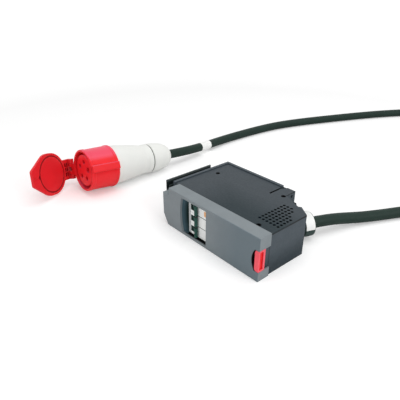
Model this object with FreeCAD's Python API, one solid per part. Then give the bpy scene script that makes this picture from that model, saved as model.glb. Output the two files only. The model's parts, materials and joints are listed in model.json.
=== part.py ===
import FreeCAD, Part
import math
import os

# Power distribution module: a plug-in case with a three-pole breaker, a release latch and a
# cord that ends in an industrial five-pole connector.
# Sizes are in millimetres. X runs along the front, Y from front to back, Z up from the floor.
# The origin is on the floor, under the middle of the module without its cord.

V = FreeCAD.Vector

# Breaker poles: their number and pitch set the height of the module
pole_count = 3
pole_pitch = 18.0
pole_gap = 0.2
stack_margin = 6.0

# Front bezel
bezel_width = 185.0
bezel_height = pole_count * pole_pitch + 2 * stack_margin
bezel_depth = 21.5
bezel_face = 3.0
bezel_wall = 2.0
bezel_round = 1.2
ear_reach = 15.0
ear_drop = 12.0
ear_height = 36.0
foot_reach = 5.0
foot_round = 4.0
seam = 0.2

# Case
case_overhang = 16.0
case_depth = 140.0
cover_drop = 2.6
rim_rise = 1.6
case_height = bezel_height - cover_drop
sheet = 1.5
cover_sheet = 1.2
neck_length = 7.2
side_length = 95.0
corner_cut_x = 18.7
corner_cut_y = 12.7
corner_step_x = 3.8
corner_step_y = 2.6
niche_width = 54.8
niche_wall_drop = 22.0
rim_width = 5.0
ledge_width = 12.0

# Cover features
vent_pitch = 6.35
vent_radius = 2.15
vent_rows = (9, 9, 9, 8, 6, 5)
vent_inset_x = 37.6
vent_inset_y = 42.3
slot_width = 3.0
slot_length = 34.0
slot_inset = 106.0
slot_flare = 5.0
cover_screw_radius = 1.9
cover_screw_head = 3.6
left_screw_inset = 21.6
left_screw_back = 43.7
right_screw_inset = 25.6
rear_screw_inset = 1.2
rear_screw_drop = 4.2
front_screw_back = 5.5
boss_radius = 3.6
boss_length = 8.0
tab_hole_radius = 2.2
tab_hole_drop = 5.0
tab_hole_inset = 8.0

# Guide rail on the left side
rail_width = 9.5
rail_height = 23.0
rail_length = 92.0
rail_front = 15.0
rail_wall = 2.0
rail_inner_drop = 6.0
rail_rise = 0.5
rail_screw_radius = 1.5
rail_screw_head = 1.8

# Breaker
window_left = 40.0
window_width = 45.0
window_bottom = 4.5
window_gap = 0.3
pole_length = 85.0
pole_depth = 68.0
nose_recess = 6.5
nose_depth = 16.0
handle_offset = 10.0
handle_pivot_depth = 4.2
handle_hub_radius = 3.8
handle_pocket_radius = 6.0
handle_reach = 13.2
handle_width = 9.0
paddle_gap = 1.4
paddle_width = pole_pitch - paddle_gap
paddle_start = 8.9
paddle_thickness = 5.0
handle_thickness = 4.0
handle_throw = 45.0
handle_gap = 0.4
axle_radius = 1.25
tie_radius = 1.1
tie_distance = 10.7
run_clearance = 0.05
label_thickness = 0.3
label_margin = 1.75
marker_size = 8.0
terminal_set_back = 20.0
terminal_depth = 9.0
terminal_screw_radius = 2.4
terminal_screw_inset = 7.0
terminal_screw_length = 6.0
scoop_reach = 13.6
scoop_depth = 12.0
scoop_bulge = 3.6

# Mounting rail of the breaker and its bracket
din_width = 35.0
din_depth = 7.5
din_sheet = 1.0
din_hat = 27.0
din_overlap = 5.0
din_lip = 1.6
din_play = 0.2
bracket_sheet = 2.0
bracket_foot = 18.0
bracket_margin = 6.0
bracket_screw_radius = 1.5

# Release latch
latch_bottom = 15.0
latch_height = 32.0
latch_thickness = 7.5
latch_barrel_radius = 3.0
latch_pivot_y = 11.0
latch_gap = 0.3
latch_pin_radius = 1.25
latch_scoop = 5.0
latch_grip_depth = 1.6
latch_grip_front = 2.4
latch_grip_length = 6.0
latch_grip_margin = 2.4
latch_corner_round = 4.0
spring_height = 7.0
spring_wire = 0.4
spring_turns_count = 4
pocket_wall = 2.5
pocket_floor = 10.0

# Rear plug
plug_reach = 14.0
plug_width = 74.0
plug_height = 36.0
plug_bottom = 10.0
plug_inset = 96.0
plug_lip = 4.0
plug_flange = 3.0
blade_count = 5
blade_pitch = 14.0
blade_thickness = 2.0
blade_height = 22.0
blade_tail = 14.0

# Cable gland
gland_height = 20.0
gland_flats = 32.0
gland_base = 8.0
gland_nut_hex = 8.0
gland_nut_sleeve = 15.0
gland_dome = 2.0
gland_cap_radius = 18.8
gland_shank_radius = 12.5
gland_shank = 12.0
gland_locknut = 5.0
gland_neck = 2.0
gland_rim = 2.5
gland_label_width = 14.5

# Wires and cord
wire_radius = 2.3
wire_end_gap = 0.1
wire_spread = 7.0
wire_lane = 9.0
wire_lane_pitch = 5.0
neutral_height = 0.53 * case_height
earth_height = 0.31 * case_height
cord_diameter = 18.0
cord_run_out = 48.0
gland_run_out = 30.0

# Connector
collar_bore_radius = 33.2
collar_wall = 3.8
collar_flare = 1.0
collar_front_radius = collar_bore_radius + collar_wall
collar_rear_radius = collar_front_radius + collar_flare
collar_length = 53.0
shroud_room = 5.4
insert_radius = collar_bore_radius - shroud_room
insert_recess = 2.0
groove_depth = 40.0
insert_web = 6.0
contact_circle = 15.5
contact_bore = 4.2
earth_bore = 5.2
sleeve_wall = 0.8
sleeve_recess = 6.0
key_width = 13.0
key_rise = 3.0
keyway_width = 9.0
keyway_depth = 2.2
housing_length = 80.3
housing_rear_radius = collar_rear_radius - 9.6
housing_wall = 3.0
ring_length = 2.0
nut_length = 47.2
nut_end_radius = 17.0
connector_tilt = 5.6
connector_turn = 0.4
connector_roll = 21.0
connector_aside = 269.1
connector_ahead = 122.3
hinge_skew = 6.0
hinge_reach = 14.0
hinge_offset = collar_rear_radius + hinge_reach
hinge_back = 3.0
hinge_pin_radius = 2.0
knuckle_radius = 4.5
knuckle_height = 20.0
lug_height = 8.0
strap_pocket_x = 3.4
strap_pocket_z = 7.0
strap_pocket_depth = 2.5
strap_rib = 1.5
lid_thickness = 10.0
lid_radius = collar_front_radius - 0.4
lid_gap = 0.6
lid_open = 60.0
lid_plate = 4.5
nose_reach = 13.0
nose_shoulder = 15.0
nose_half_width = 13.0
shoulder_round = 26.0
nose_round = 4.0
gasket_radius = lid_radius - 4.0
gasket_width = 2.4
gasket_depth = 1.5
pointer_reach = 4.0

# Places worked out from the sizes above
overall_width = bezel_width + case_overhang + rail_width
overall_depth = case_depth + plug_reach
right = overall_width / 2
bezel_left = right - bezel_width
case_left = bezel_left - case_overhang
rail_left = case_left - rail_width
front = -overall_depth / 2
case_front = front + bezel_depth + seam
case_back = front + case_depth
case_right = right - bezel_wall + seam
cover_bottom = case_height - cover_sheet
rim_top = case_height + rim_rise


def block(x0, x1, y0, y1, z0, z1):
    return Part.makeBox(x1 - x0, y1 - y0, z1 - z0, V(x0, y0, z0))


def rod(start, direction, radius, length):
    return Part.makeCylinder(radius, length, start, direction)


def plan_face(points):
    """A flat face from (x, y) points."""
    corners = [V(x, y, 0) for x, y in points]
    return Part.Face(Part.makePolygon(corners + corners[:1]))


def plan_prism(points, z0, z1):
    """A solid with the same plan at every height."""
    face = plan_face(points)
    face.translate(V(0, 0, z0))
    return face.extrude(V(0, 0, z1 - z0))


def front_face(points, y):
    """A flat face from (x, z) points, standing at depth y."""
    corners = [V(x, y, z) for x, z in points]
    return Part.Face(Part.makePolygon(corners + corners[:1]))


def turned(points):
    """A solid of revolution about the Y axis from (radius, y) points."""
    corners = [V(radius, y, 0) for radius, y in points]
    face = Part.Face(Part.makePolygon(corners + corners[:1]))
    return face.revolve(V(0, 0, 0), V(0, 1, 0), 360)


def hex_bar(flats, y0, y1):
    """A hexagonal bar along Y with a corner at the top."""
    reach = flats / math.sqrt(3)
    corners = []
    for step in range(6):
        angle = math.radians(90 + 60 * step)
        corners.append((reach * math.cos(angle), reach * math.sin(angle)))
    return front_face(corners, y0).extrude(V(0, y1 - y0, 0))


def rounded(shape, radius, wanted):
    """The shape with each edge rounded for which wanted(edge box) is true."""
    edges = [edge for edge in shape.Edges if wanted(edge.BoundBox)]
    return shape.makeFillet(radius, edges)


def bend_radius(before, corner, after):
    """Radius of the arc at a corner: as large as its two runs allow."""
    run_in = corner - before
    run_out = after - corner
    half_turn = run_in.getAngle(run_out) / 2
    return 0.45 * min(run_in.Length, run_out.Length) / math.tan(half_turn)


def bent_path(points):
    """Straight runs joined by tangent arcs, and the radii of the arcs."""
    edges = []
    radii = []
    start = points[0]
    for before, corner, after in zip(points, points[1:], points[2:]):
        run_in = (corner - before).normalize()
        run_out = (after - corner).normalize()
        half_turn = run_in.getAngle(run_out) / 2
        radius = bend_radius(before, corner, after)
        setback = radius * math.tan(half_turn)
        arc_start = corner - run_in * setback
        arc_end = corner + run_out * setback
        to_middle = (run_out - run_in).normalize()
        depth = radius / math.cos(half_turn) - radius
        edges.append(Part.LineSegment(start, arc_start).toShape())
        edges.append(Part.Arc(arc_start, corner + to_middle * depth, arc_end).toShape())
        radii.append(radius)
        start = arc_end
    edges.append(Part.LineSegment(start, points[-1]).toShape())
    return Part.Wire(edges), radii


def bent_rod(points, radius):
    """A round rod along a bent path."""
    path, radii = bent_path(points)
    section = Part.Wire(Part.makeCircle(radius, points[0], points[1] - points[0]))
    return path.makePipeShell([section], True, False), path.Length, radii


def coil_spring(bottom, radius, wire, turns, height):
    """A coil that stands on bottom with its axis along Z: a bent rod with six corners a turn."""
    corner_count = 6
    corner_radius = radius / math.cos(math.pi / corner_count)
    step_count = corner_count * turns
    points = []
    for step in range(step_count + 1):
        angle = 2 * math.pi * step / corner_count
        rise = height * step / step_count
        points.append(bottom + V(corner_radius * math.cos(angle), corner_radius * math.sin(angle), rise))
    return bent_rod(points, wire)[0]


# Front bezel

ear_top = bezel_height - ear_drop
ear_bottom = ear_top - ear_height
ear_left = bezel_left - ear_reach
foot_left = bezel_left - foot_reach
window_x = bezel_left + window_left
window_right = window_x + window_width
window_height = bezel_height - 2 * window_bottom
window_top = window_bottom + window_height
window_middle = window_x + window_width / 2
latch_top = latch_bottom + latch_height
latch_left = right - latch_thickness
latch_pivot_x = right - latch_barrel_radius
latch_pivot = V(latch_pivot_x, front + latch_pivot_y, 0)
pocket_left = latch_left - latch_scoop - pocket_wall
pocket_back = front + latch_pivot_y + latch_barrel_radius + latch_gap


def bezel_shell():
    outline = [
        (bezel_left, bezel_height), (bezel_left, ear_top), (ear_left, ear_top), (ear_left, ear_bottom),
        (foot_left, 0), (right, 0), (right, bezel_height),
    ]
    outer = front_face(outline, front)
    inner = outer.makeOffset2D(-bezel_wall, join=2)
    solid = outer.extrude(V(0, bezel_depth, 0))
    hollow = inner.extrude(V(0, bezel_depth, 0))
    hollow.translate(V(0, bezel_face, 0))
    low_corner = lambda box: (box.ZMax < 0.01 and box.XMax < foot_left + 0.01
                              and box.YLength > bezel_depth / 2)
    solid = rounded(solid, foot_round, low_corner)
    on_face = lambda box: box.YMax < front + 0.01
    solid = rounded(solid, bezel_round, on_face)
    return solid.cut(hollow)


def finger_scoop():
    """A barrel-shaped cut with an upright axis, beside the window."""
    radius = scoop_reach + bezel_face
    end_radius = radius - scoop_bulge
    middle = (window_bottom + window_top) / 2
    axis_y = front + scoop_depth - radius
    side = Part.Arc(V(end_radius, 0, window_bottom), V(radius, 0, middle), V(end_radius, 0, window_top))
    edges = [
        side.toShape(),
        Part.makeLine(V(end_radius, 0, window_top), V(0, 0, window_top)),
        Part.makeLine(V(0, 0, window_top), V(0, 0, window_bottom)),
        Part.makeLine(V(0, 0, window_bottom), V(end_radius, 0, window_bottom)),
    ]
    barrel = Part.Face(Part.Wire(edges)).revolve(V(0, 0, 0), V(0, 0, 1), 360)
    barrel.translate(V(window_x + bezel_face, axis_y, 0))
    return barrel


def latch_opening():
    """The finger opening beside the latch: its left side is an arc seen from the front."""
    low = V(latch_left, front - 1, latch_bottom)
    high = V(latch_left, front - 1, latch_top)
    far = V(latch_left - latch_scoop, front - 1, (latch_bottom + latch_top) / 2)
    face = Part.Face(Part.Wire([Part.Arc(low, far, high).toShape(), Part.makeLine(high, low)]))
    return face.extrude(V(0, pocket_floor + 1, 0))


def finger_well():
    """The dark tray behind the scoop, between the bezel's face and the breaker's nose."""
    scoop_left = window_x - scoop_reach - bezel_wall
    tray = block(scoop_left, window_x, front + bezel_face, front + scoop_depth + bezel_wall,
                 bezel_wall, bezel_height - bezel_wall)
    return tray.cut(finger_scoop())


def front_bezel():
    shell = bezel_shell()
    pocket = block(pocket_left, right - bezel_wall, front + bezel_face, pocket_back,
                   latch_bottom - pocket_wall, latch_top + pocket_wall)
    shell = shell.fuse(pocket)
    window = block(window_x, window_right, front - 1, front + bezel_face + 1, window_bottom, window_top)
    latch_room = block(latch_left - latch_gap, right + 1, front - 1, front + bezel_depth + 1,
                       latch_bottom - latch_gap, latch_top + latch_gap)
    pin_hole = rod(V(latch_pivot.x, latch_pivot.y, latch_bottom - pocket_wall), V(0, 0, 1),
                   latch_pin_radius + run_clearance, latch_height + 2 * pocket_wall)
    shell = shell.cut([finger_scoop(), window, latch_opening(), latch_room, pin_hole])
    return shell.removeSplitter()


# Release latch

def release_latch():
    """A pull lever: a flat grip with a recessed slot, and a barrel on the pivot pin."""
    grip_back = front + latch_pivot_y
    grip = block(latch_left, right, front, grip_back, latch_bottom, latch_top)
    finger_corner = lambda box: box.YLength > latch_pivot_y / 2 and box.XMax < latch_left + 0.01
    grip = rounded(grip, latch_corner_round, finger_corner)
    upright_front = lambda box: box.ZLength > latch_height / 2 and box.YMax < front + 0.01
    grip = rounded(grip, 1.0, upright_front)
    barrel = rod(latch_pivot + V(0, 0, latch_bottom), V(0, 0, 1), latch_barrel_radius, latch_height)
    grip_front = front + latch_grip_front
    slot = block(right - latch_grip_depth, right + 1, grip_front, grip_front + latch_grip_length,
                 latch_bottom + latch_grip_margin, latch_top - latch_grip_margin)
    slot = rounded(slot, 1.0, lambda box: box.XLength > latch_grip_depth)
    hole = rod(latch_pivot, V(0, 0, 1), latch_pin_radius + run_clearance, latch_top)
    room_bottom = spring_bottom - latch_gap
    room_height = spring_height + 2 * latch_gap
    room_radius = latch_coil_radius + spring_wire + latch_gap
    spring_room = rod(latch_pivot + V(0, 0, room_bottom), V(0, 0, 1), room_radius, room_height)
    spring_way = block(latch_left - 1, latch_pivot_x,
                       latch_pivot.y - room_radius, latch_pivot.y + room_radius,
                       room_bottom, room_bottom + room_height)
    return grip.fuse(barrel).cut([slot, hole, spring_room, spring_way]).removeSplitter()


spring_bottom = (latch_bottom + latch_top - spring_height) / 2
coil_height = spring_height - 2 * spring_wire
latch_coil_radius = latch_pin_radius + latch_gap + spring_wire


def latch_spring():
    bottom = latch_pivot + V(0, 0, spring_bottom + spring_wire)
    return coil_spring(bottom, latch_coil_radius, spring_wire, spring_turns_count, coil_height)


def latch_pin():
    return rod(latch_pivot + V(0, 0, latch_bottom - pocket_wall), V(0, 0, 1), latch_pin_radius,
               latch_height + 2 * pocket_wall)


# Case

corner_y = front + side_length
cut_x = case_right - corner_cut_x
cut_y = corner_y + corner_cut_y
step_x = cut_x - corner_step_x
step_y = cut_y - corner_step_y
niche_x = case_right - niche_width
niche_y = case_back - niche_wall_drop
case_plan = [
    (case_left, case_front), (case_right, case_front), (case_right, corner_y), (cut_x, cut_y),
    (step_x, step_y), (niche_x, niche_y), (niche_x, case_back), (case_left, case_back),
]
neck_left = bezel_left + bezel_wall + seam
neck_right = right - bezel_wall - seam
neck_bottom = bezel_wall + seam
neck_top = cover_bottom - seam
neck_front = case_front - neck_length

# The slanted wall of the niche carries the gland
niche_wall = V(step_x - niche_x, step_y - niche_y, 0)
gland_axis = V(-niche_wall.y, niche_wall.x, 0).normalize()
gland_seat = V((step_x + niche_x) / 2, (step_y + niche_y) / 2, gland_height)
gland_turn = math.degrees(math.atan2(gland_axis.y, gland_axis.x)) - 90

plug_right = bezel_left + plug_inset
plug_left = plug_right - plug_width
plug_top = plug_bottom + plug_height

cover_screw_places = [
    (case_left + left_screw_inset, case_back - left_screw_back),
    (niche_x - rear_screw_inset, niche_y - rear_screw_drop),
    (case_right - right_screw_inset, case_front + front_screw_back),
]
# The boss beside the niche hangs on its wall, and the other two stand on the floor
boss_feet = [sheet / 2, cover_bottom - 2 * boss_length, sheet / 2]
rail_screw_height = rim_top + rail_rise - rail_height / 2
rail_screw_ys = [front + rail_front + rail_length * share for share in (0.15, 0.5, 0.85)]


def case_base():
    """A folded sheet tray with a front neck, a top rim on two sides and a ledge under the cover."""
    outer = plan_face(case_plan)
    inner = outer.makeOffset2D(-sheet, join=2)
    tray = outer.extrude(V(0, 0, cover_bottom))
    room = inner.extrude(V(0, 0, cover_bottom))
    room.translate(V(0, 0, sheet))
    tray = tray.cut(room)
    rim_back = case_back - rim_width
    rim_right = bezel_left + slot_inset
    rim = plan_prism([
        (case_left, case_front), (case_left + rim_width, case_front), (case_left + rim_width, rim_back),
        (rim_right, rim_back), (rim_right, case_back), (case_left, case_back),
    ], cover_bottom - sheet, rim_top)
    ledge_back = case_back - ledge_width
    ledge = plan_prism([
        (case_left, case_front), (case_left + ledge_width, case_front), (case_left + ledge_width, ledge_back),
        (rim_right, ledge_back), (rim_right, case_back), (case_left, case_back),
    ], cover_bottom - sheet, cover_bottom)
    tray = tray.fuse([rim, ledge])
    neck = block(neck_left, neck_right, neck_front, case_front + sheet, neck_bottom, neck_top)
    tray = tray.fuse(neck)
    mouth = block(neck_left + sheet, neck_right - sheet, neck_front - 1, case_front + sheet + 1,
                  neck_bottom + sheet, neck_top - sheet)
    plug_hole = block(plug_left, plug_right, case_back - 2 * sheet, case_back + 1, plug_bottom, plug_top)
    gland_hole = rod(gland_seat - gland_axis * 3 * sheet, gland_axis, gland_shank_radius + seam, 6 * sheet)
    hole_start = V(niche_x - 2 * sheet, case_back - tab_hole_inset, cover_bottom - tab_hole_drop)
    tab_hole = rod(hole_start, V(1, 0, 0),
                   tab_hole_radius, 4 * sheet)
    screw_holes = [rod(V(case_left - 1, y, rail_screw_height), V(1, 0, 0),
                       rail_screw_radius + run_clearance, sheet + 2) for y in rail_screw_ys]
    foot_holes = [rod(V(x, bracket_foot_y, -1), V(0, 0, 1),
                      bracket_screw_radius + run_clearance, sheet + 2) for x in bracket_screw_xs]
    tray = tray.cut([mouth, plug_hole, gland_hole, tab_hole] + screw_holes + foot_holes)
    bosses = [cover_boss(x, y, foot) for (x, y), foot in zip(cover_screw_places, boss_feet)]
    return tray.fuse(bosses).removeSplitter()


def cover_boss(x, y, foot):
    """A screw boss under the cover, on a post that starts at the height of its foot."""
    post = rod(V(x, y, foot), V(0, 0, 1), boss_radius, cover_bottom - foot)
    hole = rod(V(x, y, cover_bottom - boss_length), V(0, 0, 1),
               cover_screw_radius + run_clearance, boss_length + 1)
    return post.cut(hole)


def case_cover():
    """The top plate, with its vent grid, rear slot and screw holes."""
    rim_edge = rim_width + seam
    back_edge = case_back - rim_edge
    slot_left = bezel_left + slot_inset
    slot_right = slot_left + slot_width
    plan = [
        (case_left + rim_edge, case_front), (case_right, case_front), (case_right, corner_y),
        (cut_x, cut_y), (step_x, step_y), (niche_x, niche_y), (niche_x, case_back),
        (slot_right + slot_flare, case_back),
        (slot_right, case_back - 2 * slot_flare), (slot_right, case_back - slot_length),
        (slot_left, case_back - slot_length), (slot_left, back_edge), (case_left + rim_edge, back_edge),
    ]
    plate = plan_prism(plan, cover_bottom, case_height)
    vents = []
    for row, count in enumerate(vent_rows):
        x = case_right - vent_inset_x + row * vent_pitch
        for hole in range(count):
            y = front + vent_inset_y + hole * vent_pitch
            vents.append(rod(V(x, y, cover_bottom - 1), V(0, 0, 1), vent_radius, cover_sheet + 2))
    sinks = [screw_sink(x, y) for x, y in cover_screw_places]
    return plate.cut(vents + sinks)


def screw_sink(x, y):
    """A countersunk hole through the cover."""
    through = rod(V(x, y, cover_bottom - 1), V(0, 0, 1),
                  cover_screw_radius + run_clearance, cover_sheet + 2)
    cone = Part.makeCone(cover_screw_radius + run_clearance, cover_screw_head + run_clearance, cover_sheet,
                         V(x, y, cover_bottom), V(0, 0, 1))
    return through.fuse(cone)


def cover_screws():
    """Countersunk screws with a cross recess."""
    screws = []
    for x, y in cover_screw_places:
        head = Part.makeCone(cover_screw_radius, cover_screw_head, cover_sheet,
                             V(x, y, cover_bottom), V(0, 0, 1))
        shank_length = boss_length - 1
        shank = rod(V(x, y, cover_bottom - shank_length), V(0, 0, 1), cover_screw_radius, shank_length)
        arm = cover_screw_head * 0.6
        half = cover_screw_head * 0.15
        recess_floor = case_height - cover_sheet * 0.6
        slots = [block(x - arm, x + arm, y - half, y + half, recess_floor, case_height + 1),
                 block(x - half, x + half, y - arm, y + arm, recess_floor, case_height + 1)]
        screws.append(head.fuse(shank).cut(slots))
    return Part.makeCompound(screws)


def guide_rail():
    """An upright channel, open at the top and lower on its inner side, that the module slides in on."""
    top = rim_top + rail_rise
    y0 = front + rail_front
    body = block(rail_left, case_left, y0, y0 + rail_length, top - rail_height, top)
    room = block(rail_left + rail_wall, case_left - rail_wall, y0 - 1, y0 + rail_length + 1,
                 top - rail_height + rail_wall, top + 1)
    inner_cut = block(rail_left + rail_wall, case_left + 1, y0 - 1, y0 + rail_length + 1,
                      top - rail_inner_drop, top + 1)
    holes = [rod(V(case_left - rail_wall - 1, y, rail_screw_height), V(1, 0, 0),
                 rail_screw_radius + run_clearance, rail_wall + 2) for y in rail_screw_ys]
    return body.cut([room, inner_cut] + holes).removeSplitter()


def rail_screws():
    screws = []
    for y in rail_screw_ys:
        shank_length = rail_wall + 4 * sheet
        shank = rod(V(case_left - rail_wall, y, rail_screw_height), V(1, 0, 0),
                    rail_screw_radius, shank_length)
        head = rod(V(case_left - rail_wall - rail_screw_head, y, rail_screw_height), V(1, 0, 0),
                   2 * rail_screw_radius, rail_screw_head)
        screws.append(head.fuse(shank).removeSplitter())
    return Part.makeCompound(screws)


# Breaker

nose_left = window_x + window_gap
nose_right = window_right - window_gap
nose_front = front + nose_recess
shoulder = nose_front + nose_depth
pole_back = nose_front + pole_depth
pole_left = window_middle - pole_length / 2
pole_right = window_middle + pole_length / 2
stack_bottom = (window_bottom + window_top - pole_count * pole_pitch) / 2
pole_middles = [stack_bottom + pole_pitch * (number + 0.5) for number in range(pole_count)]
handle_pivot = V(window_middle - handle_offset, nose_front + handle_pivot_depth, 0)
din_front = pole_back - din_overlap
label_left = handle_pivot.x + handle_reach * math.sin(math.radians(handle_throw)) + window_gap
label_right = nose_right - label_margin
label_height = pole_pitch - 2 * label_margin
terminal_y = shoulder + terminal_set_back


def pole_plan():
    """Breaker outline seen along the stack: nose, shoulders, and a T-shaped slot for the rail."""
    slot_reach = din_width / 2 + din_play
    lip_reach = slot_reach - 2.0
    bevel = 3.0
    return [
        (nose_left, nose_front), (nose_right, nose_front), (nose_right, shoulder - bevel),
        (nose_right + bevel, shoulder), (pole_right, shoulder), (pole_right, pole_back - bevel),
        (pole_right - bevel, pole_back), (window_middle + lip_reach, pole_back),
        (window_middle + lip_reach, din_front + din_lip), (window_middle + slot_reach, din_front + din_lip),
        (window_middle + slot_reach, din_front - din_play),
        (window_middle - slot_reach, din_front - din_play),
        (window_middle - slot_reach, din_front + din_lip), (window_middle - lip_reach, din_front + din_lip),
        (window_middle - lip_reach, pole_back),
        (pole_left + bevel, pole_back), (pole_left, pole_back - bevel),
        (pole_left, shoulder), (nose_left - bevel, shoulder), (nose_left, shoulder - bevel),
    ]


def breaker_pole(middle):
    half = (pole_pitch - pole_gap) / 2
    body = plan_prism(pole_plan(), middle - half, middle + half)
    half_slot = handle_width / 2 + handle_gap
    pocket = rod(handle_pivot + V(0, 0, middle - half_slot), V(0, 0, 1),
                 handle_pocket_radius, 2 * half_slot)
    swing = math.radians(handle_throw)
    sweep = handle_pivot_depth * math.tan(swing) + handle_thickness / 2 / math.cos(swing) + handle_gap
    opening = block(handle_pivot.x - sweep, handle_pivot.x + sweep, nose_front - 1, handle_pivot.y,
                    middle - half_slot, middle + half_slot)
    axle_hole = rod(handle_pivot + V(0, 0, middle - half - 1), V(0, 0, 1),
                    axle_radius + run_clearance, 2 * half + 2)
    entry_radius = wire_radius + window_gap
    entries = [rod(V(pole_left - 1, terminal_y, middle), V(1, 0, 0), entry_radius, terminal_depth + 1),
               rod(V(pole_right + 1, terminal_y, middle), V(-1, 0, 0), entry_radius, terminal_depth + 1)]
    screw_rooms = [rod(V(x, shoulder - 1, middle), V(0, 1, 0), terminal_screw_radius + run_clearance,
                       terminal_y - entry_radius - shoulder)
                   for x in (pole_left + terminal_screw_inset, pole_right - terminal_screw_inset)]
    return body.cut([pocket, opening, axle_hole] + entries + screw_rooms)


def terminal_screws():
    screws = []
    top = terminal_y - wire_radius - window_gap - 1.5 - terminal_screw_length
    wide = 2 * terminal_screw_radius
    half = wide / 12
    for middle in pole_middles:
        for x in (pole_left + terminal_screw_inset, pole_right - terminal_screw_inset):
            screw = rod(V(x, top, middle), V(0, 1, 0), terminal_screw_radius, terminal_screw_length)
            slot = block(x - half, x + half, top - 1, top + 1, middle - wide, middle + wide)
            screws.append(screw.cut(slot))
    return Part.makeCompound(screws)


def breaker_handle(middle):
    """A hub on the axle with a lever that carries a wide paddle, thrown to the right at rest."""
    half = handle_width / 2
    half_paddle = paddle_width / 2
    tip_y = handle_pivot.y - handle_reach
    hub = rod(handle_pivot + V(0, 0, middle - half), V(0, 0, 1), handle_hub_radius, handle_width)
    lever = block(handle_pivot.x - handle_thickness / 2, handle_pivot.x + handle_thickness / 2,
                  handle_pivot.y - paddle_start - 1, handle_pivot.y, middle - half, middle + half)
    paddle = block(handle_pivot.x - paddle_thickness / 2, handle_pivot.x + paddle_thickness / 2,
                   tip_y, handle_pivot.y - paddle_start, middle - half_paddle, middle + half_paddle)
    tip_edge = lambda box: box.YMax < tip_y + 0.01 and box.ZLength > half
    paddle = rounded(paddle, paddle_thickness * 0.3, tip_edge)
    tie_hole = rod(V(handle_pivot.x, handle_pivot.y - tie_distance, middle - half_paddle - 1), V(0, 0, 1),
                   tie_radius + run_clearance, paddle_width + 2)
    axle_hole = rod(handle_pivot + V(0, 0, middle - half - 1), V(0, 0, 1),
                    axle_radius + run_clearance, handle_width + 2)
    handle = hub.fuse([lever, paddle]).cut([tie_hole, axle_hole]).removeSplitter()
    handle.rotate(handle_pivot, V(0, 0, 1), handle_throw)
    return handle


def handle_tie():
    low = pole_middles[0] - paddle_width / 2
    length = (pole_count - 1) * pole_pitch + paddle_width
    tie = rod(V(handle_pivot.x, handle_pivot.y - tie_distance, low), V(0, 0, 1), tie_radius, length)
    tie.rotate(handle_pivot, V(0, 0, 1), handle_throw)
    return tie


def handle_axle():
    return rod(handle_pivot + V(0, 0, stack_bottom + pole_gap), V(0, 0, 1), axle_radius,
               pole_count * pole_pitch - 2 * pole_gap)


def breaker_labels():
    return Part.makeCompound([
        block(label_left, label_right, nose_front - label_thickness, nose_front,
              middle - label_height / 2, middle + label_height / 2) for middle in pole_middles])


def orange_marker():
    middle = pole_middles[-1]
    marker_right = label_right - window_gap
    return block(marker_right - marker_size, marker_right,
                 nose_front - 2 * label_thickness, nose_front - label_thickness,
                 middle - marker_size / 2, middle + marker_size / 2)


def din_rail():
    """A top-hat rail that stands upright behind the poles."""
    half = din_width / 2
    hat = din_hat / 2
    back = din_front + din_depth
    low = bracket_bottom + bracket_sheet
    high = stack_bottom + pole_count * pole_pitch
    flanges = [block(window_middle + side * (hat + half) / 2 - (half - hat) / 2,
                     window_middle + side * (hat + half) / 2 + (half - hat) / 2,
                     din_front, din_front + din_sheet, low, high) for side in (-1, 1)]
    sides = [block(window_middle + side * (hat - din_sheet / 2) - din_sheet / 2,
                   window_middle + side * (hat - din_sheet / 2) + din_sheet / 2,
                   din_front, back, low, high) for side in (-1, 1)]
    web = block(window_middle - hat, window_middle + hat, back - din_sheet, back, low, high)
    return web.fuse(flanges + sides).removeSplitter()


bracket_bottom = sheet
bracket_y = din_front + din_depth
bracket_reach = din_width / 2 + bracket_margin
bracket_foot_y = bracket_y + bracket_sheet + bracket_foot / 2
bracket_screw_xs = (window_middle - bracket_reach / 2, window_middle + bracket_reach / 2)


def rail_bracket():
    """A folded angle: an upright plate behind the rail and a foot on the tray's floor."""
    high = stack_bottom + pole_count * pole_pitch
    plate = block(window_middle - bracket_reach, window_middle + bracket_reach,
                  bracket_y, bracket_y + bracket_sheet, bracket_bottom, high)
    foot = block(window_middle - bracket_reach, window_middle + bracket_reach,
                 bracket_y, bracket_y + bracket_sheet + bracket_foot,
                 bracket_bottom, bracket_bottom + bracket_sheet)
    holes = [rod(V(x, bracket_foot_y, 0), V(0, 0, 1), bracket_screw_radius + run_clearance,
                 bracket_bottom + bracket_sheet + 1) for x in bracket_screw_xs]
    return plate.fuse(foot).cut(holes).removeSplitter()


def bracket_screws():
    screws = []
    top = bracket_bottom + bracket_sheet
    for x in bracket_screw_xs:
        shank = rod(V(x, bracket_foot_y, seam), V(0, 0, 1), bracket_screw_radius, top - seam)
        head = rod(V(x, bracket_foot_y, top), V(0, 0, 1), 2 * bracket_screw_radius, rail_screw_head)
        screws.append(head.fuse(shank).removeSplitter())
    return Part.makeCompound(screws)


# Rear plug

plug_middle = (plug_left + plug_right) / 2
blade_middle_z = (plug_bottom + plug_top) / 2
blade_xs = [plug_middle + blade_pitch * (number - (blade_count - 1) / 2) for number in range(blade_count)]
blade_front = case_back - sheet - blade_tail
blade_back = case_back + plug_reach


def contact_blade(x, grow):
    """A flat blade, rounded at its free corners; grow widens it into the slot that holds it."""
    half = blade_thickness / 2 + grow
    tall = blade_height / 2 + grow
    return block(x - half, x + half, blade_front, blade_back, blade_middle_z - tall, blade_middle_z + tall)


def contact_blades():
    free_corner = lambda box: box.YMin > blade_back - 0.01 and box.XLength > blade_thickness / 2
    lead_in = blade_thickness * 1.5
    return Part.makeCompound([rounded(contact_blade(x, 0), lead_in, free_corner) for x in blade_xs])


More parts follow.
